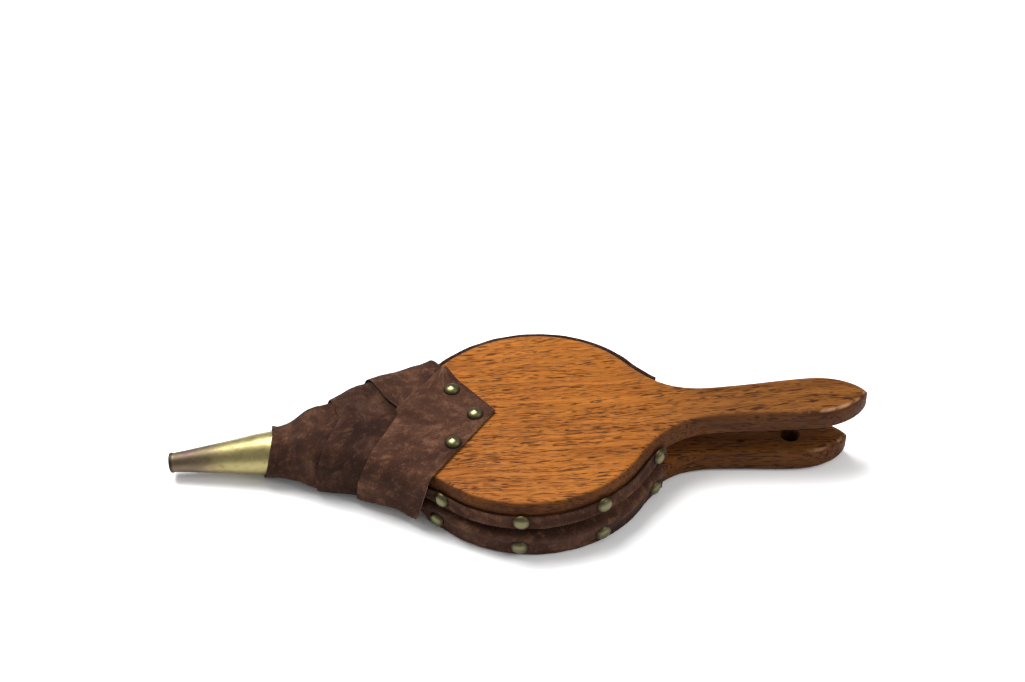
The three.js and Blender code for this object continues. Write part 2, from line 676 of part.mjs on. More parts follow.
// The strip of leather down one side. Its section is two rolls with a crease
// between them, and it lies against the edges of both boards.
function sideSkin(sideName, side) {
  const [from, to] = [0.1, 0.875];
  const stations = 30;
  const inside = CLEARANCE;
  const outside = CLEARANCE + LEATHER;
  const rings = Array.from({ length: stations + 1 }, (_, i) => {
    const { point, normal } = outlineAt(mix(from, to, i / stations));
    const onBottom = (out, z) => new THREE.Vector3(
      point.x + normal.x * out,
      side * (point.y + normal.y * out),
      z,
    );
    const onTop = (out, z) => onBottom(out, z)
      .sub(new THREE.Vector3(HINGE_X, 0, 0))
      .applyMatrix4(topFrame.matrix);
    const crease = (out) => (
      onBottom(out, BOARD_THICKNESS).lerp(onTop(out, -BOARD_THICKNESS), CREASE_SHARE)
    );
    const low = mix(WRAP_RELIEF + 4, SKIN_EDGE_ABOVE_TABLE, smooth(point.x, 82, 90));
    const high = -mix(9.5, SKIN_EDGE_BELOW_TOP[sideName], smooth(point.x, 76, 90));
    return [
      onBottom(outside, low),
      onBottom(outside, BOARD_THICKNESS - 3.4),
      onBottom(outside + SKIN_ROLL, BOARD_THICKNESS - 0.6),
      crease(outside),
      onTop(outside + SKIN_ROLL, 0.4 - BOARD_THICKNESS),
      onTop(outside, 1.6 - BOARD_THICKNESS),
      onTop(outside, high),
      onTop(inside, high),
      onTop(inside, -BOARD_THICKNESS),
      crease(inside),
      onBottom(inside, BOARD_THICKNESS),
      onBottom(inside, low),
    ];
  });
  const own = (nail) => nail.name.includes(sideName);
  const holes = [
    ...bottomNails.filter(own).flatMap((nail) => [nailHole(nail), headDimple(nail)]),
    ...topNails.filter(own).flatMap((nail) => [
      nailHole(nail, topFrame.matrix),
      headDimple(nail, topFrame.matrix),
    ]),
  ];
  return mesh(`skin_${sideName}`, fromSolid(without(toSolid(loftSolid(rings)), holes)), SUEDE);
}

// The folded piece that closes the chamber between the boards across the neck.
function tailGusset() {
  const { point } = outlineAt(0.875);
  const back = point.x;
  const front = back - 9;
  const low = BOARD_THICKNESS + CLEARANCE;
  const high = (x) => topFaceHeight(x) - BOARD_THICKNESS - CLEARANCE;
  const middle = (low + high(front)) / 2;
  const profile = [
    [back, low],
    [front + LEATHER, middle],
    [back, high(back)],
    [back - 2.4 * LEATHER, high(back - 2.4 * LEATHER)],
    [front - LEATHER, middle],
    [back - 2.4 * LEATHER, low],
  ];
  return mesh('tail_gusset', acrossPlate(profile, point.y - CLEARANCE), SUEDE_DARK);
}

// ---------------------------------------------------------------------- bindings

const frontWrap = () => mesh('front_wrap', binding({
  turns: ringTurns,
  frontX: () => FRONT_WRAP_EDGE_X,
  backX: (turn) => edgeX(MIDDLE_WRAP_EDGE, turn) + WRAP_OVERLAP - 1,
  rows: 7,
  raisedFor: 0,
  loop: true,
}), SUEDE);

const middleWrap = () => mesh('middle_wrap', binding({
  turns: ringTurns,
  frontX: (turn) => edgeX(MIDDLE_WRAP_EDGE, turn),
  backX: (turn) => edgeX(OUTER_WRAP_EDGE, turn) + WRAP_OVERLAP - 1,
  rows: 7,
  raisedFor: WRAP_OVERLAP,
  loop: true,
}), SUEDE_DARK);

function outerWraps() {
  const station = 85;
  const halfWay = alongSection(halfSection(station, 0, 1), 1).total;
  const turnOf = (way) => way / halfWay;
  const endOfNear = turnOf(CROSSING_END_Y - 2);
  const startOfFar = turnOf(CROSSING.y + 5);
  const gap = 0.5;
  const near = binding({
    turns: turnsBetween(-0.995, endOfNear, 26),
    frontX: (turn) => Math.max(edgeX(OUTER_WRAP_EDGE, turn), turn > 0 ? crossingX(turn) : -1e3),
    backX: (turn) => edgeX(FLAP_EDGE, turn),
    rows: 9,
    raisedFor: WRAP_OVERLAP,
    loop: false,
  });
  const far = binding({
    turns: [...turnsBetween(startOfFar, endOfNear, 5), ...turnsBetween(endOfNear + 0.012, 0.995, 12)],
    frontX: (turn) => edgeX(OUTER_WRAP_EDGE, turn),
    backX: (turn) => Math.min(
      edgeX(FLAP_EDGE, turn),
      turn < endOfNear + 0.001 ? crossingX(turn) - gap : 1e3,
    ),
    rows: 8,
    raisedFor: WRAP_OVERLAP,
    loop: false,
  });
  const holes = [
    ...flapNails.flatMap((nail) => [nailHole(nail, topFrame.matrix), headDimple(nail, topFrame.matrix)]),
    ...wrapTacks.map((tack) => tackHole(tack)),
  ];
  return [
    mesh('outer_wrap_near', fromSolid(without(toSolid(near), holes)), SUEDE),
    mesh('outer_wrap_far', fromSolid(without(toSolid(far), holes)), SUEDE),
  ];
}

// ------------------------------------------------------------------------- valve

function valve() {
  const hingeEnd = DISC_CENTRE_X - CLAPPER_RADIUS;
  const seat = BOARD_THICKNESS;
  const disc = new THREE.CylinderGeometry(CLAPPER_RADIUS, CLAPPER_RADIUS, CLAPPER_THICKNESS, 24);
  const clapper = mesh('valve_clapper', disc.rotateX(Math.PI / 2), OAK_DARK);
  clapper.position.set(DISC_CENTRE_X + 1, 0, seat + CLEARANCE + CLAPPER_THICKNESS / 2);
  const strip = acrossPlate([
    [hingeEnd - 0.75 * VALVE_HINGE_LENGTH, seat],
    [hingeEnd, seat],
    [hingeEnd, seat + LEATHER],
    [hingeEnd - 0.75 * VALVE_HINGE_LENGTH, seat + LEATHER],
  ], VALVE_HINGE_HALF_WIDTH);
  const drilled = without(toSolid(strip), valveTacks.map((tack) => tackHole(tack)));
  return [clapper, mesh('valve_hinge', fromSolid(drilled), SUEDE_DARK)];
}

// ----------------------------------------------------------------------- assembly

const bellows = new THREE.Group();
nozzleFrame.add(nozzle());
topFrame.add(topBoard(), ...topNails, ...flapNails);
bellows.add(
  bottomBoard(),
  noseBlock(),
  nozzleFrame,
  topFrame,
  hingeLeather(),
  ...SIDES.map(([sideName, side]) => sideSkin(sideName, side)),
  tailGusset(),
  frontWrap(),
  middleWrap(),
  ...outerWraps(),
  ...valve(),
  ...bottomNails,
  ...wrapTacks,
  ...valveTacks,
);

// The origin is on the table, under the middle of the whole length and width.
bellows.updateMatrixWorld(true);
const bounds = new THREE.Box3().setFromObject(bellows, true);
bellows.position.set(-(bounds.min.x + bounds.max.x) / 2, -(bounds.min.y + bounds.max.y) / 2, -bounds.min.z);

export default bellows;
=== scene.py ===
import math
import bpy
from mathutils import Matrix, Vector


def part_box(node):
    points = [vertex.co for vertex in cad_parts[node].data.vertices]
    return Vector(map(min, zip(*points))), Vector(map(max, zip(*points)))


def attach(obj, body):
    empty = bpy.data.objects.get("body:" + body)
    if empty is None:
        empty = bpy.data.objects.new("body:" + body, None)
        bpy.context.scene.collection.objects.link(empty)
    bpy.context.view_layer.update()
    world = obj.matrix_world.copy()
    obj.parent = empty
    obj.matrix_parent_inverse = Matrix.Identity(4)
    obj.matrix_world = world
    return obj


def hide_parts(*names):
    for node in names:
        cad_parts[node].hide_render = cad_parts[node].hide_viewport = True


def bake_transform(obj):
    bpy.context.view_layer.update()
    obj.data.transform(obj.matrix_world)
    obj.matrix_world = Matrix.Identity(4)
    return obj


bl_info = {
    "name": "Hearth Bellows",
    "version": (1, 0, 0),
    "blender": (4, 5, 0),
    "location": "3D View > Sidebar > Bellows",
    "description": "Builds the oak, suede and brass of a hand bellows round its fixed frame",
    "category": "Add Mesh",
}

import bpy
from bpy.props import FloatProperty, FloatVectorProperty, PointerProperty
from mathutils import Matrix, Vector, noise
from mathutils.geometry import interpolate_bezier

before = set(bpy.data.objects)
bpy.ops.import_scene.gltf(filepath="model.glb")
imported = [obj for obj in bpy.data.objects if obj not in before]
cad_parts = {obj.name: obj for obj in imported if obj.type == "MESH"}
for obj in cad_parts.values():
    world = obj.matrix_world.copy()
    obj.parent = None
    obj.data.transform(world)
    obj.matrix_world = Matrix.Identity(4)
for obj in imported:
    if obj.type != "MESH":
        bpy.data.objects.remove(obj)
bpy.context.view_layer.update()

# ---- sizes, in millimetres
# Lengths run from the front face of the nose, heights from the table.

MM = 0.001
NOSE_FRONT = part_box("bottom_board")[0].x
CLEARANCE = 0.3
LEATHER = 1.6
BOARD = round((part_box("bottom_board")[1].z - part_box("bottom_board")[0].z) / MM, 2)
DISC_RADIUS = 77.5
DISC_CENTRE = 152.5
SHOULDER = math.radians(133)
NECK_ROOT = math.radians(35)
NECK_X = 266.5
NECK_HALF = 14.6
SWELL_TO_TIP = 34
SWELL_HALF = 16.8
TOP_TIP = 362
BOTTOM_TIP = 354
HINGE_X = 30
NOSE_TOP = 2 * BOARD + 2
TILT = math.radians(3.1)
NOZZLE_HEIGHT = 17.1
NOZZLE_DROOP = math.radians(5)
RELIEF = 4.6  # the nose stands this far off the table, up to RELIEF_END
RELIEF_END = 90
RELIEF_GONE = 0.9  # the board is cut this much higher than the relief
SPIGOT_RADIUS = 7.5
SOCKET_DEPTH = 61.3
AIR_CHANNEL = (22, 66, 7, 6.5)  # from, to, half width and depth
INTAKE_RADIUS = 13
HANG_RADIUS = 5.7
HANG_BEFORE_TIP = 37
HINGE_POCKET = (5, 13.3, 11.3, 1.7)  # before and behind the hinge, half width, depth
NAIL_SHARES = (0.344, 0.517, 0.683, 0.85)
CENTRE_Y = 4
NAIL_RADIUS = 5.2
NAIL_CROWN = 3.4
TACK_RADIUS = 2.6
TACK_CROWN = 0.9
SKIN_SHARES = (0.1, 0.877)
GUSSET_SHARE = 0.874
GUSSET_PAST_EDGE = 1.4
GUSSET_DEPTH = 7.4
NOSE_MIDDLE_HEIGHT = 0.018
SIDE_LIGHT_SHARE = 0.18
CAMERA_AIM = (147, 120.4, 0)
CAMERA_TURN = math.radians(-2.9)
CAMERA_RISE = math.radians(40)
CAMERA_DISTANCE = 1.0479
CAMERA_LENS = 52.7

OPEN_FROM = Vector((20, 0, 36))  # a point by the nose, from which bind() measures an end point that it does not use
OPEN_ACROSS = Vector((0.416, 0, 0.909))  # and the direction of that end point


def place(x, y, z):
    """A point in metres in the frame."""
    return Vector((NOSE_FRONT + x * MM, y * MM, z * MM))


TOP_PLACE = Matrix.Translation((HINGE_X, 0, NOSE_TOP)) @ Matrix.Rotation(-TILT, 4, "Y")


def mix(a, b, t):
    return a + (b - a) * t


def clamp(value, low=0.0, high=1.0):
    return max(low, min(high, value))


def smooth(value, low, high):
    t = clamp((value - low) / (high - low))
    return t * t * (3 - 2 * t)


def uneven(a, b, c):
    """A smooth random height between about -1 and 1, the same at each run."""
    return noise.noise(Vector((a, b, c)))


def top_height(x):
    return NOSE_TOP + max(0, x - HINGE_X) * math.tan(TILT)


# ---- settings

COLOUR = {"subtype": "COLOR", "size": 3}


class BoardSettings(bpy.types.PropertyGroup):
    rounding: FloatProperty(name="Edge rounding", description="Radius of the boards' edges",
                            default=4.2 * MM, min=1 * MM, max=8 * MM, unit="LENGTH")
    honey: FloatVectorProperty(name="Oak", description="Colour of the open grain",
                               default=(0.285, 0.093, 0.0125), **COLOUR)
    amber: FloatVectorProperty(name="Oak streaks", description="Colour of the streaks along the grain",
                               default=(0.17, 0.050, 0.0065), **COLOUR)
    pore: FloatVectorProperty(name="Pores", description="Colour of the pores",
                              default=(0.035, 0.011, 0.004), **COLOUR)
    edge: FloatVectorProperty(name="Edge", description="Colour of the darkened edges",
                              default=(0.036, 0.0135, 0.0068), **COLOUR)


class LeatherSettings(bpy.types.PropertyGroup):
    thickness: FloatProperty(name="Thickness", description="Thickness of the suede",
                             default=LEATHER * MM, min=0.8 * MM, max=3 * MM, unit="LENGTH")
    wrinkle: FloatProperty(name="Wrinkles", description="Depth of the wrinkles",
                           default=0.6 * MM, min=0, max=2 * MM, unit="LENGTH")
    shade: FloatVectorProperty(name="Suede, dark", description="Colour of the rubbed-in patches",
                               default=(0.021, 0.009, 0.006), **COLOUR)
    suede: FloatVectorProperty(name="Suede", description="Colour of the nap",
                               default=(0.062, 0.0255, 0.0145), **COLOUR)
    scuff: FloatVectorProperty(name="Suede, light", description="Colour of the scuffed patches",
                               default=(0.15, 0.070, 0.040), **COLOUR)
    cut: FloatVectorProperty(name="Cut edge", description="Colour of the cut edges",
                             default=(0.28, 0.19, 0.12), **COLOUR)


class BrassSettings(bpy.types.PropertyGroup):
    bright: FloatVectorProperty(name="Brass", description="Colour of the clean brass",
                                default=(0.29, 0.245, 0.105), **COLOUR)
    patina: FloatVectorProperty(name="Patina", description="Colour of the heated, browned brass",
                                default=(0.11, 0.08, 0.055), **COLOUR)
    antique: FloatVectorProperty(name="Nail brass", description="Colour of the nail heads",
                                 default=(0.125, 0.112, 0.055), **COLOUR)


class StageSettings(bpy.types.PropertyGroup):
    floor: FloatVectorProperty(name="Floor", description="Colour of the floor",
                               default=(0.93, 0.93, 0.93), **COLOUR)
    key: FloatProperty(name="Key light", description="Power of the large light overhead",
                       default=34, min=0, unit="POWER")
    fill: FloatProperty(name="Fill light", description="Brightness of the surroundings",
                        default=0.5, min=0)


# ---- bench tools

def deselect():
    bpy.ops.object.select_all(action="DESELECT")


def activate(piece):
    deselect()
    piece.select_set(True)
    bpy.context.view_layer.objects.active = piece


def apply_place():
    bpy.ops.object.transform_apply(location=True, rotation=True, scale=True)


def set_down(piece, matrix=None):
    """Applies a place given in millimetres, so that the object sits at the origin."""
    activate(piece)
    scale = Matrix.Translation((NOSE_FRONT, 0, 0)) @ Matrix.Scale(MM, 4)
    piece.matrix_world = scale @ (matrix or Matrix()) @ piece.matrix_world
    apply_place()


def tidy_faces(piece, gap=1e-5):
    activate(piece)
    bpy.ops.object.mode_set(mode="EDIT")
    bpy.ops.mesh.select_all(action="SELECT")
    bpy.ops.mesh.remove_doubles(threshold=gap)
    bpy.ops.mesh.normals_make_consistent(inside=False)
    bpy.ops.object.mode_set(mode="OBJECT")


def shade(piece, angle):
    activate(piece)
    bpy.ops.object.shade_smooth_by_angle(angle=math.radians(angle))


def cut(piece, *cutters):
    """Cuts each cutter out of a piece in turn, and removes it."""
    for cutter in cutters:
        activate(piece)
        boolean = piece.modifiers.new("Cut", "BOOLEAN")
        boolean.object = cutter
        boolean.operation = "DIFFERENCE"
        boolean.solver = "MANIFOLD"
        bpy.ops.object.modifier_apply(modifier=boolean.name)
        bpy.data.objects.remove(cutter)


def block(low, high):
    """A cutter with square corners, in millimetres."""
    deselect()
    centre = [(a + b) / 2 for a, b in zip(low, high)]
    bpy.ops.mesh.primitive_cube_add(size=1, location=centre, scale=[b - a for a, b in zip(low, high)])
    piece = bpy.context.object
    apply_place()
    return piece


def turned(name, profile, sides, joined=False):
    """A turned piece round Z from (radius, height) points: a ring is drawn up and resized
    point by point. A radius of 0 closes an end; joined ties the last ring to the first."""
    deselect()
    radius, height = profile[0]
    bpy.ops.mesh.primitive_circle_add(vertices=sides, radius=max(radius, 0.01), location=(0, 0, 0))
    piece = bpy.context.object
    piece.name = piece.data.name = name
    bpy.ops.object.mode_set(mode="EDIT")
    bpy.ops.transform.translate(value=(0, 0, height))
    if radius == 0:
        bpy.ops.mesh.edge_face_add()
        bpy.ops.mesh.poke()
        bpy.ops.mesh.select_all(action="SELECT")
        bpy.ops.mesh.region_to_loop()
    before = max(radius, 0.01)
    for radius, level in profile[1:]:
        bpy.ops.mesh.extrude_region_move(TRANSFORM_OT_translate={"value": (0, 0, level - height)})
        share = max(radius, 0.01) / before
        bpy.ops.transform.resize(value=(share, share, 1), center_override=(0, 0, level))
        before, height = max(radius, 0.01), level
    if profile[-1][0] == 0:
        bpy.ops.mesh.edge_face_add()
    bpy.ops.object.mode_set(mode="OBJECT")
    tidy_faces(piece, 0.012 if joined else 1e-4)
    return piece


def finish_piece(piece, body, finishes, nodes):
    """Gives a finished piece its finishes and body, and hides the frame nodes that it stands for."""
    piece.data.materials.clear()
    for finish in finishes:
        piece.data.materials.append(FINISHES[finish])
    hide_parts(*nodes)
    if body:
        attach(piece, body)
    return piece


# ---- outline of the boards

def outline_knots(tip, nose=(0, 14), nose_reach=(35.9, 19.4)):
    """The knots of one side of a board: the point, and the handles before and after it."""
    def on_disc(angle, reach=0.0):
        return (DISC_CENTRE + DISC_RADIUS * math.cos(angle) + reach * math.sin(angle),
                DISC_RADIUS * math.sin(angle) - reach * math.cos(angle))
    middle = (SHOULDER + NECK_ROOT) / 2
    arc = 4 / 3 * math.tan((SHOULDER - NECK_ROOT) / 8) * DISC_RADIUS
    fillet = 0.48 * (NECK_X - on_disc(NECK_ROOT)[0])
    swell = tip - SWELL_TO_TIP
    round_tip = mix(swell, tip, 0.88)
    return [
        (nose, (nose[0], nose[1] - 3), nose_reach),
        (on_disc(SHOULDER), on_disc(SHOULDER, -0.36 * on_disc(SHOULDER)[0]), on_disc(SHOULDER, arc)),
        (on_disc(middle), on_disc(middle, -arc), on_disc(middle, arc)),
        (on_disc(NECK_ROOT), on_disc(NECK_ROOT, -arc), on_disc(NECK_ROOT, fillet)),
        ((NECK_X, NECK_HALF), (NECK_X - fillet, NECK_HALF), (mix(NECK_X, swell, 0.4), NECK_HALF)),
        ((swell, SWELL_HALF), (mix(NECK_X, swell, 0.7), SWELL_HALF), (mix(swell, tip, 0.5), SWELL_HALF)),
        ((tip, 0), (round_tip, 0.5 * SWELL_HALF), (round_tip, -0.5 * SWELL_HALF)),
    ]


def sampled_outline():
    knots = outline_knots(TOP_TIP)
    points = []
    for (a, _, after), (b, before, _) in zip(knots, knots[1:]):
        part = interpolate_bezier(*(Vector((*p, 0)) for p in (a, after, before, b)), 60)
        points += part if not points else part[1:]
    runs = [0.0]
    for a, b in zip(points, points[1:]):
        runs.append(runs[-1] + (b - a).length)
    to_neck = next(run for run, p in zip(runs, points) if p.x > NECK_X - 0.01)
    return points, runs, to_neck


OUTLINE, OUTLINE_RUNS, TO_NECK = sampled_outline()


def half_width(x):
    i = next((k for k, p in enumerate(OUTLINE) if p.x >= x), len(OUTLINE) - 1)
    a, b = OUTLINE[max(i - 1, 0)], OUTLINE[max(i, 1)]
    return mix(a.y, b.y, clamp((x - a.x) / max(b.x - a.x, 1e-9)))


def outline_at(run):
    """The point and outward direction at a distance along the outline."""
    i = next((k for k, r in enumerate(OUTLINE_RUNS) if r >= run and k > 0), len(OUTLINE) - 1)
    a, b = OUTLINE[i - 1], OUTLINE[i]
    along = (b - a).normalized()
    t = (run - OUTLINE_RUNS[i - 1]) / (OUTLINE_RUNS[i] - OUTLINE_RUNS[i - 1])
    return a.lerp(b, t), Vector((-along.y, along.x, 0))


# ---- form of the bound nose

NOZZLE_ROUND = 13.9
SKIN_PROUD = CLEARANCE + LEATHER + 1.2 + CLEARANCE
ARC_STEPS = 9


def nose_form(x, side):
    axis = NOZZLE_HEIGHT + x * math.tan(NOZZLE_DROOP)
    around = NOZZLE_ROUND - 0.8 * smooth(-x, 8, 18)
    grown = smooth(x, -9, 20)
    board = half_width(max(x, 0))
    bunched = 4 * (1 - smooth(x, 70, 90))
    bulge = (9 + bunched) * smooth(x, 20, 46) if side > 0 else 6 * smooth(x, 24, 82)
    half = mix(around, board + SKIN_PROUD + bulge, grown)
    top = mix(axis + around, top_height(x), smooth(x, 0, 14))
    bottom = mix(axis - around, RELIEF, smooth(x, 0, 10))
    across = mix(half, min(half - board + 0.5, 11), grown)
    down = mix((top - bottom) / 2, 7, grown)
    return half, top, bottom, across, down


def half_section(x, offset, side):
    half, top, bottom, across, down = nose_form(x, side)
    half, top, bottom = half + offset, top + offset, bottom - offset
    across, down = across + offset, down + offset
    points = [(0.0, top)]
    for centre, start in ((top - down, math.pi / 2), (bottom + down, 0)):
        for i in range(ARC_STEPS + 1):
            angle = start - i / ARC_STEPS * math.pi / 2
            points.append((half - across + across * math.cos(angle), centre + down * math.sin(angle)))
    return points + [(0.0, bottom)]


def along_section(points, share):
    runs = [0.0]
    for a, b in zip(points, points[1:]):
        runs.append(runs[-1] + math.dist(a, b))
    wanted = clamp(share) * runs[-1]
    i = next(k for k, run in enumerate(runs) if run >= wanted - 1e-9 and k > 0)
    t = (wanted - runs[i - 1]) / max(runs[i] - runs[i - 1], 1e-9)
    return mix(points[i - 1][0], points[i][0], t), mix(points[i - 1][1], points[i][1], t), runs[-1]


def on_form(x, turn, offset):
    """A point on the form: turn is 0 on top, -1 and 1 under it by the near and far side."""
    y, z, _ = along_section(half_section(x, offset, turn), abs(turn))
    return Vector((x, math.copysign(y, turn), z))


def way_round(x, turn):
    return turn * along_section(half_section(x, 0, turn), 1)[2]


def edge_x(edge, turn):
    """Where an edge given as (apex, slope on top, turn down, slope on the side) lies."""
    apex, slope, turn_down, side_slope = edge
    x = apex
    for _ in range(12):
        way = abs(way_round(x, turn) - CENTRE_Y)
        x = mix(x, apex - slope * min(way, turn_down) - side_slope * max(way - turn_down, 0), 0.7)
    return x


FRONT_EDGE = -12
MIDDLE_EDGE = (34, 0.42, 36, 0)
OUTER_EDGE = (70, 0.55, 46, 0.1)
FLAP_EDGE = (130.5, 0.76, 56, 0.32)
OVERLAP = 4.5
LAYER = LEATHER + 2 * CLEARANCE
CROSSING = (8, 0.8)


def crossing_x(turn):
    """The front edge of the near band where it lies over the far band."""
    x = OUTER_EDGE[0]
    for _ in range(12):
        x = mix(x, OUTER_EDGE[0] + CROSSING[1] * (way_round(x, turn) - CROSSING[0]), 0.5)
    return x


def step(distance):
    return LAYER * (1 - smooth(distance, OVERLAP, OVERLAP + 20))


# ---- leather

def leather_sheet(name, rows, thickness, outward, closed=False):
    """A sheet from rows of points in millimetres, its good side out, with a live thickness.
    It keeps its own flat pattern as a UV map, in metres."""
    count = len(rows[0])
    points = [place(*p) for row in rows for p in row]
    faces = []
    spans = count if closed else count - 1
    for i in range(len(rows) - 1):
        for j in range(spans):
            k = (j + 1) % count
            faces.append((i * count + j, i * count + k, (i + 1) * count + k, (i + 1) * count + j))
    mesh = bpy.data.meshes.new(name)
    mesh.from_pydata(points, [], faces)
    piece = bpy.data.objects.new(name, mesh)
    bpy.context.collection.objects.link(piece)
    middle = mesh.polygons[len(mesh.polygons) // 2]
    if middle.normal.dot(outward(middle.center)) < 0:
        mesh.flip_normals()
    across = [0.0]
    for a, b in zip(rows[len(rows) // 2], rows[len(rows) // 2][1:]):
        across.append(across[-1] + (Vector(b) - Vector(a)).length * MM)
    if closed:
        across.append(across[-1] + (Vector(rows[0][0]) - Vector(rows[0][-1])).length * MM)
    down = [0.0]
    for a, b in zip(rows, rows[1:]):
        down.append(down[-1] + (Vector(b[count // 2]) - Vector(a[count // 2])).length * MM)
    layer = mesh.uv_layers.new(name="Pattern")
    for polygon in mesh.polygons:
        columns = {mesh.loops[k].vertex_index % count for k in polygon.loop_indices}
        wraps = closed and 0 in columns and count - 1 in columns
        for k in polygon.loop_indices:
            row, column = divmod(mesh.loops[k].vertex_index, count)
            layer.data[k].uv = (across[count if wraps and column == 0 else column], down[row])
    mesh.shade_smooth()
    solid = piece.modifiers.new("Thickness", "SOLIDIFY")
    solid.thickness = thickness
    solid.offset = -1
    solid.use_even_offset = True
    solid.thickness_clamp = 1.5
    solid.material_offset_rim = 1
    return piece, max(across), max(down)


def from_axis(point):
    """Outward from the middle line of the nose."""
    return Vector((0, point.y, point.z - NOSE_MIDDLE_HEIGHT))


def curve_through(points, steps):
    """A smooth curve through points (Catmull-Rom)."""
    padded = [points[0] * 2 - points[1]] + points + [points[-1] * 2 - points[-2]]
    out = []
    for a, b, c, d in zip(padded, padded[1:], padded[2:], padded[3:]):
        for i in range(steps):
            t = i / steps
            out.append(0.5 * ((2 * b) + (c - a) * t + (2 * a - 5 * b + 4 * c - d) * t * t
                              + (3 * b - a - 3 * c + d) * t ** 3))
    return out + [points[-1]]


def spread(start, end, steps):
    return [mix(start, end, i / steps) for i in range(steps + 1)]


# ---- node materials

class Recipe:
    """One node material, written as a short list of steps."""

    def __init__(self, name):
        self.material = bpy.data.materials.new(name)
        self.material.use_nodes = True
        self.tree = self.material.node_tree
        self.shader = self.tree.nodes["Principled BSDF"]
        self.column = 0

    def link(self, source, socket):
        self.tree.links.new(source, socket)

    def add(self, kind, inputs=None, **settings):
        node = self.tree.nodes.new(kind)
        self.column += 1
        node.location = (-220 * (self.column % 12) - 250, -260 * (self.column // 12))
        for key, value in settings.items():
            setattr(node, key, value)
        for key, value in (inputs or {}).items():
            if isinstance(value, bpy.types.NodeSocket):
                self.link(value, node.inputs[key])
            else:
                node.inputs[key].default_value = value
        return node

    def coordinates(self, output="Object", scale=(1, 1, 1), turn=(0, 0, 0), shift=(0, 0, 0)):
        source = self.add("ShaderNodeTexCoord").outputs[output]
        return self.add("ShaderNodeMapping", {"Vector": source, "Scale": scale, "Rotation": turn,
                                              "Location": shift}).outputs["Vector"]

    def noise(self, vector, scale, detail=3.0, roughness=0.55, distortion=0.0):
        return self.add("ShaderNodeTexNoise", {"Vector": vector, "Scale": scale, "Detail": detail,
                                               "Roughness": roughness,
                                               "Distortion": distortion}).outputs["Fac"]

    def band(self, value, low, high, to_low=0.0, to_high=1.0):
        """The value between two limits, spread smoothly over a new range."""
        return self.add("ShaderNodeMapRange", {"Value": value, "From Min": low, "From Max": high,
                                               "To Min": to_low, "To Max": to_high},
                        interpolation_type="SMOOTHSTEP").outputs["Result"]

    def math(self, operation, a, b=0.0, c=0.0):
        return self.add("ShaderNodeMath", {0: a, 1: b, 2: c}, operation=operation).outputs[0]

    def times(self, a, b):
        return self.math("MULTIPLY", a, b)

    def cloud(self, scale, detail=3.0, roughness=0.55, distortion=0.0):
        """Noise over the piece's own place, with a scale for each direction."""
        return self.noise(self.coordinates(scale=scale), 1, detail, roughness, distortion)

    def blend(self, factor, a, b, kind="MIX"):
        node = self.add("ShaderNodeMix", data_type="RGBA", blend_type=kind)
        for index, value in ((0, factor), (6, a), (7, b)):
            if isinstance(value, bpy.types.NodeSocket):
                self.link(value, node.inputs[index])
            else:
                node.inputs[index].default_value = (*value, 1) if index else value
        return node.outputs[2]

    def finish(self, color, roughness, height=None, distance=0.0002, strength=0.5, **constants):
        self.link(color, self.shader.inputs["Base Color"])
        if isinstance(roughness, bpy.types.NodeSocket):
            self.link(roughness, self.shader.inputs["Roughness"])
        else:
            self.shader.inputs["Roughness"].default_value = roughness
        if height is not None:
            bump = self.add("ShaderNodeBump", {"Height": height, "Distance": distance,
                                               "Strength": strength})
            self.link(bump.outputs["Normal"], self.shader.inputs["Normal"])
        for key, value in constants.items():
            self.shader.inputs[key.replace("_", " ")].default_value = value
        return self.material


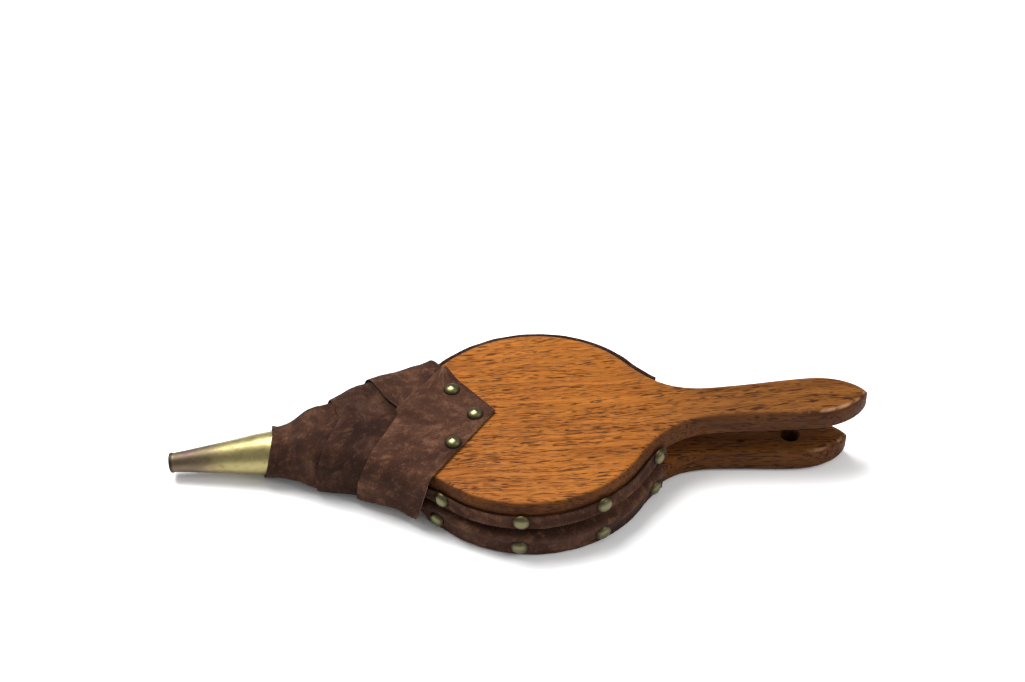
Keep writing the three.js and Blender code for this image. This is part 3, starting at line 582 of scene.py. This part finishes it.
def oak(name, settings, dark=0.0, edge_dark=1.0):
    """Varnished oak: long growth lines, short open pores along the grain, darker edges and
    handles, and rubbed corners with a painted highlight."""
    r = Recipe(name)
    wander = r.cloud((7, 16, 16), 2, 0.5)
    grain = r.coordinates()
    split = r.add("ShaderNodeSeparateXYZ", {"Vector": grain})
    x, y, z = split.outputs
    bent = r.math("MULTIPLY_ADD", wander, 0.02, y)
    lines = r.add("ShaderNodeCombineXYZ", {"X": x, "Y": bent, "Z": z}).outputs[0]

    def stretched(sx, sy, sz, scale=1.0, detail=2.0, rough=0.5):
        scaled = r.add("ShaderNodeMapping", {"Vector": lines, "Scale": (sx, sy, sz)}).outputs[0]
        return r.noise(scaled, scale, detail, rough)

    rings = stretched(2.2, 115, 60, 1, 2, 0.5)
    streaks = stretched(9, 420, 300, 1, 3, 0.6)
    base = r.blend(r.band(streaks, 0.32, 0.68), settings.honey, settings.amber)
    base = r.blend(r.band(rings, 0.5, 0.72, 0, 0.55), base, settings.amber)
    patches = r.cloud((9, 22, 22), 2, 0.5)
    base = r.blend(r.band(patches, 0.4, 0.75, 0, 0.35), base,
                   (settings.honey[0] * 1.22, settings.honey[1] * 1.3, settings.honey[2] * 1.5))

    fine = stretched(120, 1500, 1100, 1, 1, 0.4)
    coarse = stretched(125, 1250, 950, 1, 1.5, 0.5)
    rows = r.band(stretched(4, 300, 220, 1, 1, 0.4), 0.4, 0.54)
    dashes = r.times(r.band(coarse, 0.47, 0.39), r.math("MULTIPLY_ADD", rows, 0.85, 0.15))
    specks = r.times(r.band(fine, 0.42, 0.32), 0.7)
    pores = r.math("MAXIMUM", dashes, specks)
    base = r.blend(r.times(pores, 0.9), base, settings.pore)

    handle = r.band(x, 0.05, 0.14)
    base = r.blend(r.times(handle, 0.9), base, (0.55, 0.62, 0.9), "MULTIPLY")

    normal = r.add("ShaderNodeTexCoord").outputs["Normal"]
    upright = r.math("ABSOLUTE", r.add("ShaderNodeSeparateXYZ", {"Vector": normal}).outputs[2])
    walled = r.math("MULTIPLY_ADD", handle, -0.15, 1.0)
    # darker on the side walls, where the faces turn from upright, a little less on the handles; a cloud
    # makes it uneven
    side = r.times(r.band(upright, 0.97, 0.72), walled)
    wall_cloud = r.cloud((40, 40, 60), 4, 0.6)
    darker_walls = r.times(side, r.band(wall_cloud, 0.2, 0.75, 1.0, 0.72))
    base = r.blend(r.times(darker_walls, 0.95 * edge_dark), base, settings.edge)

    # rub wear and a painted highlight: lighter along the rounded edges at the handle tip
    corner = r.times(r.band(upright, 0.45, 0.7), r.band(upright, 0.97, 0.8))
    tip = r.times(corner, r.band(x, 0.155, 0.2))
    rubbed = r.times(tip, r.band(r.cloud((120, 120, 120), 3), 0.4, 0.6))
    base = r.blend(r.times(rubbed, 0.55), base, (0.5, 0.26, 0.15))
    # painted shade: the copies of the oak for the lower board and the hidden parts are multiplied darker
    if dark:
        base = r.blend(dark, base, (0.45, 0.4, 0.38), "MULTIPLY")

    sheen = r.cloud((30, 60, 60), 3)
    roughness = r.math("ADD", r.band(sheen, 0.3, 0.7, 0.45, 0.6), r.times(pores, 0.25))
    height = r.math("SUBTRACT", r.times(streaks, 0.25), pores)
    return r.finish(base, roughness, height, 0.00022, 0.55, Specular_IOR_Level=0.06)


def suede(name, settings, depth=0.0):
    """Brushed suede: clouded patches, a short nap, light scuffs and darker rubbed places."""
    r = Recipe(name)
    clouds = r.noise(r.coordinates("UV", (30, 30, 30), shift=(depth * 3, depth, 0)), 1, 4, 0.6, 0.5)
    mottle = r.noise(r.coordinates("UV", (150, 150, 150)), 1, 5, 0.65, 0.3)
    nap = r.noise(r.coordinates("UV", (1100, 750, 900), turn=(0, 0, 0.5)), 1, 4, 0.75)
    base = r.blend(r.band(clouds, 0.3, 0.52), settings.shade, settings.suede)
    base = r.blend(r.band(clouds, 0.48, 0.68, 0, 0.95), base, settings.scuff)
    base = r.blend(r.band(mottle, 0.35, 0.7, 0.5, 0.0), base, settings.shade)
    base = r.blend(r.band(mottle, 0.5, 0.72, 0.0, 0.6), base, settings.scuff)
    base = r.blend(r.band(nap, 0.35, 0.65, 0.55, 0.0), base, settings.shade)
    base = r.blend(r.band(nap, 0.55, 0.75, 0.0, 0.45), base, settings.scuff)
    # painted shade: the shaded copies of the suede are multiplied darker and cooler
    if depth:
        base = r.blend(depth, base, (0.42, 0.42, 0.46), "MULTIPLY")
    height = r.math("MULTIPLY_ADD", nap, 0.5, r.times(mottle, 1.2))
    return r.finish(base, 0.97, height, 0.0004, 0.8, Sheen_Weight=0.03, Sheen_Roughness=0.6,
                    Specular_IOR_Level=0.02)


def cut_edge(name, settings):
    """The pale, fibrous cut edge of the suede."""
    r = Recipe(name)
    fibre = r.cloud((900, 900, 900), 3, 0.6)
    stain = r.cloud((60, 60, 60), 3, 0.6)
    base = r.blend(r.band(fibre, 0.3, 0.7), settings.cut, settings.scuff)
    base = r.blend(r.band(stain, 0.56, 0.4, 0.0, 0.85), base, settings.shade)
    return r.finish(base, 0.95, fibre, 0.0001, 0.5, Specular_IOR_Level=0.2)


def nozzle_brass(name, settings):
    """Spun brass that browns from the bindings towards the tip, with heat stains."""
    r = Recipe(name)
    x = r.add("ShaderNodeSeparateXYZ", {"Vector": r.coordinates()}).outputs[0]
    cloud = r.cloud((60, 90, 90), 4, 0.6)
    stain = r.cloud((220, 300, 300), 4, 0.65, 0.6)
    rings = r.cloud((1600, 8, 8), 2, 0.5)
    along = r.math("MULTIPLY_ADD", cloud, 0.05, x)
    browned = r.band(along, NOSE_FRONT - 6 * MM, NOSE_FRONT - 36 * MM)
    base = r.blend(r.times(browned, 0.93), settings.bright, settings.patina)
    base = r.blend(r.times(r.band(stain, 0.52, 0.7), 0.5), base,
                   tuple(c * 1.6 for c in settings.patina))
    heat = r.times(r.band(cloud, 0.5, 0.62), browned)
    base = r.blend(r.times(heat, 0.5), base, (0.13, 0.06, 0.09))
    tip = r.band(x, NOSE_FRONT - 71.2 * MM, NOSE_FRONT - 72.6 * MM)
    base = r.blend(r.times(tip, 0.8), base, (0.02, 0.015, 0.012))
    roughness = r.math("ADD", r.band(stain, 0.3, 0.7, 0.3, 0.48), r.times(browned, 0.1))
    height = r.math("MULTIPLY_ADD", rings, 0.3, r.times(stain, 0.6))
    return r.finish(base, roughness, height, 0.00012, 0.4, Metallic=1.0)


def nail_brass(name, settings):
    """Antique brass: polished crown, dark tarnish round the rim."""
    r = Recipe(name)
    rim = r.add("ShaderNodeAttribute", attribute_name="rim").outputs["Fac"]
    spots = r.cloud((700, 700, 700), 4, 0.6)
    worn = r.math("MULTIPLY_ADD", spots, 0.25, rim)
    base = r.blend(r.band(worn, 0.72, 1.08, 0, 0.85), settings.antique, (0.05, 0.04, 0.02))
    base = r.blend(r.band(spots, 0.6, 0.75, 0, 0.4), base, settings.patina)
    roughness = r.band(worn, 0.4, 1.1, 0.2, 0.5)
    return r.finish(base, roughness, spots, 0.00008, 0.3, Metallic=1.0)


FINISHES = {}


def make_finishes():
    scene = bpy.context.scene
    wood, leather, brass = scene.bellows_boards, scene.bellows_leather, scene.bellows_brass
    FINISHES.update(
        oak=oak("Oak", wood),
        # painted shade: darker copies of the oak for the lower board and the hidden parts
        oak_lower=oak("Oak_lower", wood, dark=0.45, edge_dark=0.6),
        oak_dark=oak("Oak_hidden", wood, dark=0.6, edge_dark=0.3),
        suede=suede("Suede", leather),
        # painted shade: darker copies of the suede for the front and middle bindings, the gusset, the
        # strips and the skins' edges
        suede_front=suede("Suede_front", leather, 0.45),
        suede_dark=suede("Suede_dark", leather, 0.75),
        cut=cut_edge("Suede_cut_edge", leather),
        nozzle=nozzle_brass("Nozzle_brass", brass),
        nail=nail_brass("Nail_brass", brass),
    )


# ---- operators

def board_from_outline(name, tip, rounding):
    """A board cut from its outline and rounded over, lying flat."""
    knots = outline_knots(tip, nose=(3, 8.5), nose_reach=(30, 17))
    other = [((x, -y), (ax, -ay), (bx, -by)) for (x, y), (bx, by), (ax, ay) in knots[-2::-1]]
    deselect()
    bpy.ops.curve.primitive_bezier_circle_add(radius=10, location=(0, 0, BOARD / 2))
    piece = bpy.context.object
    piece.name = name
    points = piece.data.splines[0].bezier_points
    both = knots + other
    points.add(len(both) - len(points))
    for point, (co, before, after) in zip(points, both):
        point.handle_left_type = point.handle_right_type = "FREE"
        point.co = (*co, 0)
        point.handle_left = (*before, 0)
        point.handle_right = (*after, 0)
    nose_end = points[len(both) - 1]
    nose_end.handle_right = nose_end.co
    points[0].handle_left = points[0].co
    curve = piece.data
    curve.dimensions = "2D"
    curve.fill_mode = "BOTH"
    curve.resolution_u = 28
    curve.bevel_depth = rounding
    curve.bevel_resolution = 5
    curve.offset = -rounding
    curve.extrude = BOARD / 2 - rounding
    bpy.ops.object.convert(target="MESH")
    piece = bpy.context.object
    apply_place()
    piece.data.name = name
    tidy_faces(piece, 0.01)
    return piece


class BELLOWS_OT_boards(bpy.types.Operator):
    """Cut and round the two oak boards with their handles"""
    bl_idname = "bellows.boards"
    bl_label = "Boards"

    def execute(self, context):
        rounding = context.scene.bellows_boards.rounding / MM
        lower = board_from_outline("Board_lower", BOTTOM_TIP, rounding)
        deselect()
        bpy.ops.mesh.primitive_cylinder_add(vertices=46, radius=SPIGOT_RADIUS + CLEARANCE,
                                            depth=SOCKET_DEPTH,
                                            location=(0.1, 0, NOZZLE_HEIGHT),
                                            rotation=(0, math.pi / 2 - NOZZLE_DROOP, 0))
        socket = bpy.context.object
        apply_place()
        wide = INTAKE_RADIUS + 1
        intake = turned("Intake", [(wide, -1), (wide, 0), (INTAKE_RADIUS, 1.2),
                                   (INTAKE_RADIUS, BOARD + 1)], 64)
        close_ends(intake)
        intake.location = (DISC_CENTRE, 0, 0)
        wide = HANG_RADIUS + 1
        hang = turned("Hang", [(wide, -1), (wide, 0), (HANG_RADIUS, 1.1), (HANG_RADIUS, BOARD - 1.1),
                               (wide, BOARD), (wide, BOARD + 1)], 48)
        close_ends(hang)
        hang.location = (BOTTOM_TIP - HANG_BEFORE_TIP, 0, 0)
        start, end, half, depth = AIR_CHANNEL
        cut(lower, intake, hang, block((start, -half, BOARD - depth), (end, half, BOARD + 5)), socket,
            block((-10, -99, -9), (RELIEF_END, 99, RELIEF + RELIEF_GONE)))
        set_down(lower)
        shade(lower, 32)
        finish_piece(lower, "lower", ("oak_lower",), ["bottom_board"])

        upper = board_from_outline("Board_upper", TOP_TIP, rounding)
        before, behind, half, depth = HINGE_POCKET
        cut(upper, block((-20, -99, -20), (HINGE_X + 0.4, 99, 40)),
            block((HINGE_X - before, -half, BOARD - depth), (HINGE_X + behind, half, BOARD + 5)))
        set_down(upper, TOP_PLACE @ Matrix.Translation((-HINGE_X, 0, -BOARD)))
        shade(upper, 32)
        finish_piece(upper, "upper", ("oak",), ["top_board"])
        return {"FINISHED"}


def close_ends(piece):
    """Fills the two open ends of a turned cutter."""
    activate(piece)
    bpy.ops.object.mode_set(mode="EDIT")
    bpy.ops.mesh.select_all(action="DESELECT")
    bpy.ops.mesh.select_non_manifold()
    bpy.ops.mesh.edge_face_add()
    bpy.ops.mesh.select_all(action="SELECT")
    bpy.ops.mesh.normals_make_consistent(inside=False)
    bpy.ops.object.mode_set(mode="OBJECT")


class BELLOWS_OT_nozzle(bpy.types.Operator):
    """Turn the brass nozzle with its spigot and rolled tip"""
    bl_idname = "bellows.nozzle"
    bl_label = "Nozzle"

    def execute(self, context):
        outside = [(13.6, 1.4), (13.6, 9.5), (13.4, 12.5), (12.9, 18), (12.1, 24), (11.0, 32), (9.9, 40),
                   (8.9, 48), (7.9, 56), (7.0, 63), (6.5, 68), (6.2, 71), (6.3, 72), (6.5, 72.9),
                   (6.3, 73.7), (5.8, 74), (5.2, 73.9), (5.0, 73.3)]
        inside = [(5.1, 71), (5.5, 66), (6.9, 56), (8.9, 40), (10.9, 25), (12.2, 14), (12.6, 10),
                  (12.6, 2.4), (6.6, 2.4), (6.5, -21.4), (6.7, -22), (7.3, -22), (SPIGOT_RADIUS, -21.4),
                  (SPIGOT_RADIUS, 1.4)]
        path = curve_through([Vector(p) for p in outside], 3) + [Vector(p) for p in inside]
        nozzle = turned("Nozzle_cone", [tuple(p) for p in path] + [outside[0]], 96, joined=True)
        direction = Matrix.Rotation(-NOZZLE_DROOP, 4, "Y") @ Vector((-1, 0, 0))
        turn = direction.to_track_quat("Z", "Y").to_matrix().to_4x4()
        set_down(nozzle, Matrix.Translation((0, 0, NOZZLE_HEIGHT)) @ turn)
        shade(nozzle, 40)
        finish_piece(nozzle, "lower", ("nozzle",), ["nozzle"])
        return {"FINISHED"}


def wrinkled(x, way, amount, seed):
    """The uneven lie of the leather: broad waves and fine puckers."""
    broad = uneven(x / 22, way / 17, seed)
    pucker = uneven(x / 7, way / 9, seed + 9)
    return amount * (broad + 0.45 * pucker)


class BELLOWS_OT_skins(bpy.types.Operator):
    """Lay the folded suede skin along both sides, where the nails go"""
    bl_idname = "bellows.skins"
    bl_label = "Skins"

    def execute(self, context):
        leather = context.scene.bellows_leather
        amount = leather.wrinkle / MM
        nails = [share * TO_NECK for share in NAIL_SHARES]
        for side_name, side in (("near", -1), ("far", 1)):
            rows = []
            for run in spread(SKIN_SHARES[0] * TO_NECK, SKIN_SHARES[1] * TO_NECK, 190):
                point, normal = outline_at(run)

                def on_bottom(out, z):
                    return Vector((point.x + normal.x * out, side * (point.y + normal.y * out), z))

                def on_top(out, z):
                    return TOP_PLACE @ (on_bottom(out, z) - Vector((HINGE_X, 0, 0)))

                low = mix(RELIEF + 4, 1.2, smooth(point.x, 82, 90))
                gap = (on_top(0, -BOARD) - on_bottom(0, BOARD)).z
                lip = min(1.0, 0.28 * gap)
                fold = clamp(2.4 - 1.25 * (gap - 3.2), -6.5, 2.4)
                pull = min(abs(run - nail) for nail in nails)
                puff = 0.8 * (1 - math.exp(-pull * pull / 90))
                low += 0.35 * uneven(run / 9, side, 3)
                below_face = mix(9.5, 8.5 if side < 0 else 2.6, smooth(point.x, 76, 90))
                high = -below_face + 0.35 * uneven(run / 9, side, 5)
                bow = amount * uneven(run / 14, side * 3, 1)
                dip = amount * uneven(run / 11, side * 3, 7)
                lean = 0.9 * smooth(point.x, 76, 90) if side > 0 else 0
                rows.append(curve_through([
                    on_bottom(1.9, low),
                    on_bottom(1.95, low + 2),
                    on_bottom(2.0 + 0.3 * puff, 7.5),
                    on_bottom(2.5 + puff + 0.5 * bow, 11.6),
                    on_bottom(3.6 + 0.9 * puff + bow, 14.4),
                    on_bottom(3.8 + 0.7 * puff + bow, BOARD - 0.2),
                    on_bottom(2.6 + bow, BOARD + lip + 0.12 * gap),
                    on_bottom(fold, BOARD + 0.52 * gap),
                    on_bottom(fold, BOARD + 0.7 * gap),
                    on_top(1.9 + dip, -BOARD - lip),
                    on_top(3.0 + 0.5 * puff + dip, 0.2 - BOARD),
                    on_top(2.7 + 0.6 * puff + dip, 1.8 - BOARD),
                    on_top(2.1 + 0.4 * puff + 0.4 * dip, -13.2),
                    on_top(2.0, -11.5),
                    on_top(1.95 + lean, high),
                ], 3))
            skin, width, length = leather_sheet(
                f"Skin_{side_name}", rows, leather.thickness,
                outward=lambda p, side=side: Vector((0, side, 0)))
            finish_piece(skin, None, ("suede", "suede_dark"),
                         [f"skin_{side_name}"])
            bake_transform(skin)
        return {"FINISHED"}


class BELLOWS_OT_gusset(bpy.types.Operator):
    """Fold the suede piece that closes the skin across the neck"""
    bl_idname = "bellows.gusset"
    bl_label = "Gusset"

    def execute(self, context):
        leather = context.scene.bellows_leather
        point, _ = outline_at(GUSSET_SHARE * TO_NECK)
        back, half = point.x, point.y + GUSSET_PAST_EDGE
        rows = []
        for y in spread(-half, half, 48):
            low = BOARD + 0.4
            high = top_height(back) - BOARD - 0.4
            deep = GUSSET_DEPTH * (1 - abs(y / half) ** 3) + 0.6
            wave = 0.5 * uneven(y / 8, 4, 2)
            rows.append(curve_through([
                Vector((back, y, low)),
                Vector((back - 3.4, y, low + 1.2)),
                Vector((back - deep, y, mix(low, high, 0.42) + wave)),
                Vector((back - deep, y, mix(low, high, 0.58) + wave)),
                Vector((back - 3.4, y, high - 1.2)),
                Vector((back, y, high)),
            ], 4))
        gusset, width, length = leather_sheet("Gusset", rows, leather.thickness,
                                              outward=lambda p: Vector((1, 0, 0)))
        # painted shade: the gusset deep between the handles is shaded suede on both sides
        finish_piece(gusset, None, ("suede_dark", "suede_dark"),
                     ["tail_gusset"])
        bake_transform(gusset)
        return {"FINISHED"}


def bind(name, node, finish, turns, front, back, rows, lift, leather, closed=False, seed=0.0):
    """Lays one binding over the form."""
    amount = leather.wrinkle / MM
    grid = []
    ends = [(front(turn), back(turn)) for turn in turns]
    for i in range(rows + 1):
        line = []
        for turn, (start, end) in zip(turns, ends):
            x = mix(start, end, i / rows)
            way = way_round(x, turn)
            free = min(x - start, end - x)
            rise = CLEARANCE + LEATHER + lift(x, turn, start, end)
            rise += abs(wrinkled(x, way, amount, seed)) * smooth(free, -1, 8) * smooth(x, -12, 6)
            line.append(on_form(x, turn, rise))
        grid.append(line)
    piece, width, length = leather_sheet(name, grid, leather.thickness, from_axis, closed)
    finish_piece(piece, None, (finish, "cut"), [node])
    end = OPEN_FROM + OPEN_ACROSS * 14
    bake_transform(piece)
    return piece


class BELLOWS_OT_bindings(bpy.types.Operator):
    """Wrap the suede bindings round the nose"""
    bl_idname = "bellows.bindings"
    bl_label = "Bindings"

    def execute(self, context):
        leather = context.scene.bellows_leather
        ring = spread(-1, 1, 150)[:-1]

        def front_edge(turn):
            return FRONT_EDGE + 3.8 * math.cos(turn * math.pi) + 0.5 * uneven(turn * 9, 0, 1)

        def front_lift(x, turn, start, end):
            curl = math.exp(-((turn - 0.3) / 0.08) ** 2) * (1 - smooth(x - start, 0, 5))
            gather = math.sin(turn * 26 + 2 * uneven(turn * 4, x / 20, 8))
            return 1.3 * curl + 0.35 * (1 + gather) * smooth(x, -6, 4) * (1 - smooth(x, 12, 30))

        def middle_edge(turn):
            return edge_x(MIDDLE_EDGE, turn) + 0.6 * uneven(turn * 7, 2, 1)

        def outer_edge(turn):
            return edge_x(OUTER_EDGE, turn) + 0.5 * uneven(turn * 7, 5, 1)

        def over_front(x, turn, start, end):
            return step(x - start)

        bind("Binding_front", "front_wrap", "suede_front", ring, front_edge,
             lambda turn: edge_x(MIDDLE_EDGE, turn) + OVERLAP - 1, 44, front_lift, leather, True, 1.0)
        bind("Binding_middle", "middle_wrap", "suede_dark", ring, middle_edge,
             lambda turn: edge_x(OUTER_EDGE, turn) + OVERLAP - 1, 40, over_front, leather, True, 2.0)

        whole = way_round(85, 1)
        end_of_near = 37 / whole

        def far_front(turn):
            y = way_round(65, turn)
            return outer_edge(turn) + 3.4 * (1 - smooth(y, 6, 22))

        def far_back(turn):
            flap = edge_x(FLAP_EDGE, turn)
            if turn < end_of_near + 0.02:
                return min(flap - 2, crossing_x(turn) + OVERLAP - 1)
            return flap

        def near_front(turn):
            return max(outer_edge(turn), crossing_x(turn) if turn > 0 else -99)

        def near_back(turn):
            return edge_x(FLAP_EDGE, turn) + 0.4 * uneven(turn * 11, 8, 1)

        def near_lift(x, turn, start, end):
            over_far = step(x - crossing_x(turn)) * smooth(way_round(x, turn), 0, 8) if turn > 0 else 0
            hang = 1.4 * smooth(-turn, 0.4, 0.6) * (1 - smooth(-turn, 0.85, 1))
            return step(x - outer_edge(turn)) + over_far + hang * (1 - smooth(end - x, 0, 12))

        bind("Binding_far", "outer_wrap_far", "suede", spread(7 / whole, 0.995, 90), far_front, far_back,
             46, over_front, leather, seed=3.0)
        bind("Binding_near", "outer_wrap_near", "suede", spread(-0.995, end_of_near, 130), near_front,
             near_back, 56, near_lift, leather, seed=4.0)
        return {"FINISHED"}


def nail_axis(node):
    """The crown of a frame nail and the direction that it faces, from its two far ends."""
    points = [v.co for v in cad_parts[node].data.vertices]
    middle = sum(points, Vector()) / len(points)
    foot = max(points, key=lambda p: (p - middle).length)
    crown = max(points, key=lambda p: (p - foot).length)
    return crown, (crown - foot).normalized()


def drive(master, name, node, body, height):
    """Copies a fastener, drives it where the frame's own one stands, and gives it its body."""
    crown, direction = nail_axis(node)
    piece = master.copy()
    piece.data = master.data.copy()
    piece.name = piece.data.name = name
    bpy.context.collection.objects.link(piece)
    turn = direction.to_track_quat("Z", "Y").to_matrix().to_4x4()
    activate(piece)
    piece.matrix_world = Matrix.Translation(crown - direction * height * MM) @ turn @ Matrix.Scale(MM, 4)
    apply_place()
    return finish_piece(piece, body, ("nail",), [node])


def drive_all(master, radius, height, kind, prefix):
    """Marks the rim of a fastener, and drives a copy for each one in the frame."""
    rim = master.data.attributes.new("rim", "FLOAT", "POINT")
    for vertex in master.data.vertices:
        rim.data[vertex.index].value = clamp(math.hypot(vertex.co.x, vertex.co.y) / radius)
    shade(master, 50)
    for node in sorted(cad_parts):
        if f"_{kind}_" in node:
            upper = kind == "nail" and not node.startswith("bottom")
            drive(master, f"{prefix}_" + node.replace(f"_{kind}", ""), node,
                  "upper" if upper else "lower", height)
    bpy.data.objects.remove(master)


class BELLOWS_OT_nails(bpy.types.Operator):
    """Turn one dome nail and one tack, and drive all the nails and tacks"""
    bl_idname = "bellows.nails"
    bl_label = "Nails and tacks"

    def execute(self, context):
        crown = [(NAIL_RADIUS * math.cos(a), NAIL_CROWN * math.sin(a))
                 for a in spread(0.05, math.pi / 2 - 0.08, 10)]
        nail = turned("Nail_master", [(0, -13), (0.7, -11.5), (1, -10), (1, -0.4), (1, 0.35), (4.3, 0.3),
                                      (4.9, 0.02), (5.15, 0.0)] + crown + [(0, NAIL_CROWN)], 32)
        drive_all(nail, NAIL_RADIUS, NAIL_CROWN, "nail", "Dome")
        tack = turned("Tack_master", [(0, -7), (0.5, -6), (0.7, -4.5), (0.7, -0.2), (0.8, 0.02),
                                      (2.5, 0.0), (TACK_RADIUS, 0.15), (2.45, 0.45), (1.9, 0.75),
                                      (1.0, 0.88), (0, TACK_CROWN)], 24)
        drive_all(tack, TACK_RADIUS, TACK_CROWN, "tack", "Tack")
        return {"FINISHED"}


def hinge_strip(name, node, body, steps, thickness, height):
    """A plain leather strip over the box of its frame node, at a height given by (x, y)."""
    low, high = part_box(node)
    xs = spread((low.x - NOSE_FRONT) / MM, (high.x - NOSE_FRONT) / MM, steps[0])
    ys = spread(low.y / MM, high.y / MM, steps[1])
    rows = [[Vector((x, y, height(x, y))) for x in xs] for y in ys]
    strip, width, length = leather_sheet(name, rows, thickness, lambda p: Vector((0, 0, 1)))
    finish_piece(strip, body, ("suede_dark", "cut"), [node])
    return strip, width, length


class BELLOWS_OT_inside(bpy.types.Operator):
    """Make the valve, the hinge strips and the finish of the nose block"""
    bl_idname = "bellows.inside"
    bl_label = "Valve and hinge"

    def execute(self, context):
        low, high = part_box("valve_clapper")
        radius, thick = (high.x - low.x) / 2 / MM, (high.z - low.z) / MM
        middle = (low.x + high.x) / 2 / MM - NOSE_FRONT / MM
        clapper = turned("Clapper", [(0, 0), (radius - 0.6, 0), (radius, 0.6), (radius, thick - 0.7),
                                     (radius - 0.7, thick), (0, thick)], 72)
        set_down(clapper, Matrix.Translation((middle, 0, low.z / MM)))
        shade(clapper, 40)
        finish_piece(clapper, "clapper", ("oak_dark",), ["valve_clapper"])

        low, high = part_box("valve_hinge")
        sheet = hinge_strip("Valve_strip", "valve_hinge", "lower", (10, 14), 0.95 * (high.z - low.z),
                            lambda x, y: high.z / MM + 0.06 * uneven(x, y, 0))
        sheet = hinge_strip("Hinge_strip", "hinge_leather", None, (24, 12), 1.45 * MM,
                            lambda x, y: top_height(x) - 0.1)
        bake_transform(sheet[0])

        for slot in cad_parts["nose_block"].material_slots:
            slot.material = FINISHES["oak_dark"]
        return {"FINISHED"}


class BELLOWS_OT_stage(bpy.types.Operator):
    """Set the floor, the lights and the camera"""
    bl_idname = "bellows.stage"
    bl_label = "Stage"

    def execute(self, context):
        settings = context.scene.bellows_stage
        deselect()
        bpy.ops.mesh.primitive_plane_add(size=8, location=(0, 0, 0))
        floor = bpy.context.object
        floor.name = "Floor"
        r = Recipe("Floor")
        paper = r.cloud((3, 3, 3), 2)
        tone = settings.floor
        r.finish(r.blend(r.band(paper, 0.3, 0.7, 0, 0.2), tone, tuple(c * 0.99 for c in tone)), 0.9,
                 Specular_IOR_Level=0.06)
        floor.data.materials.append(r.material)

        world = bpy.data.worlds.new("Studio")
        world.use_nodes = True
        background = world.node_tree.nodes["Background"]
        background.inputs["Color"].default_value = (1, 1, 1, 1)
        background.inputs["Strength"].default_value = settings.fill
        context.scene.world = world
        for name, spot, size, power in (
                ("Key", (-0.35, 0.45, 1.25), 0.9, settings.key),
                ("Side", (0.9, -0.5, 0.9), 0.6, settings.key * SIDE_LIGHT_SHARE)):
            deselect()
            bpy.ops.object.light_add(type="AREA", location=spot)
            light = bpy.context.object
            light.name = name
            light.data.size = size
            light.data.energy = power
            light.rotation_euler = (Vector((0, 0, 0)) - Vector(spot)).to_track_quat("-Z", "Y").to_euler()

        flat = math.cos(CAMERA_RISE)
        back = Vector((math.sin(CAMERA_TURN) * flat, -math.cos(CAMERA_TURN) * flat,
                       math.sin(CAMERA_RISE)))
        deselect()
        bpy.ops.object.camera_add(location=place(*CAMERA_AIM) + back * CAMERA_DISTANCE)
        camera = bpy.context.object
        camera.rotation_euler = (-back).to_track_quat("-Z", "Y").to_euler()
        camera.data.lens = CAMERA_LENS
        camera.data.sensor_width = 36
        context.scene.camera = camera
        context.scene.view_settings.view_transform = "Standard"
        return {"FINISHED"}


class BELLOWS_PT_panel(bpy.types.Panel):
    """The bellows' settings and steps"""
    bl_idname = "BELLOWS_PT_panel"
    bl_label = "Hearth bellows"
    bl_space_type = "VIEW_3D"
    bl_region_type = "UI"
    bl_category = "Bellows"

    def draw(self, context):
        for group in ("bellows_boards", "bellows_leather", "bellows_brass", "bellows_stage"):
            box = self.layout.box()
            settings = getattr(context.scene, group)
            for key in settings.bl_rna.properties.keys():
                if key not in ("rna_type", "name"):
                    box.prop(settings, key)
        for step_class in STEPS:
            self.layout.operator(step_class.bl_idname)


SETTINGS = {
    "bellows_boards": BoardSettings,
    "bellows_leather": LeatherSettings,
    "bellows_brass": BrassSettings,
    "bellows_stage": StageSettings,
}
STEPS = (BELLOWS_OT_stage, BELLOWS_OT_boards, BELLOWS_OT_nozzle, BELLOWS_OT_inside, BELLOWS_OT_skins,
         BELLOWS_OT_gusset, BELLOWS_OT_bindings, BELLOWS_OT_nails)


def register():
    for item in (*SETTINGS.values(), *STEPS, BELLOWS_PT_panel):
        bpy.utils.register_class(item)
    for name, group in SETTINGS.items():
        setattr(bpy.types.Scene, name, PointerProperty(type=group))


def unregister():
    for name in SETTINGS:
        delattr(bpy.types.Scene, name)
    for item in reversed((*SETTINGS.values(), *STEPS, BELLOWS_PT_panel)):
        bpy.utils.unregister_class(item)


def main():
    register()
    make_finishes()
    bpy.ops.bellows.stage()
    bpy.ops.bellows.boards()
    bpy.ops.bellows.nozzle()
    bpy.ops.bellows.inside()
    bpy.ops.bellows.skins()
    bpy.ops.bellows.gusset()
    bpy.ops.bellows.bindings()
    bpy.ops.bellows.nails()


if __name__ == "__main__":
    main()
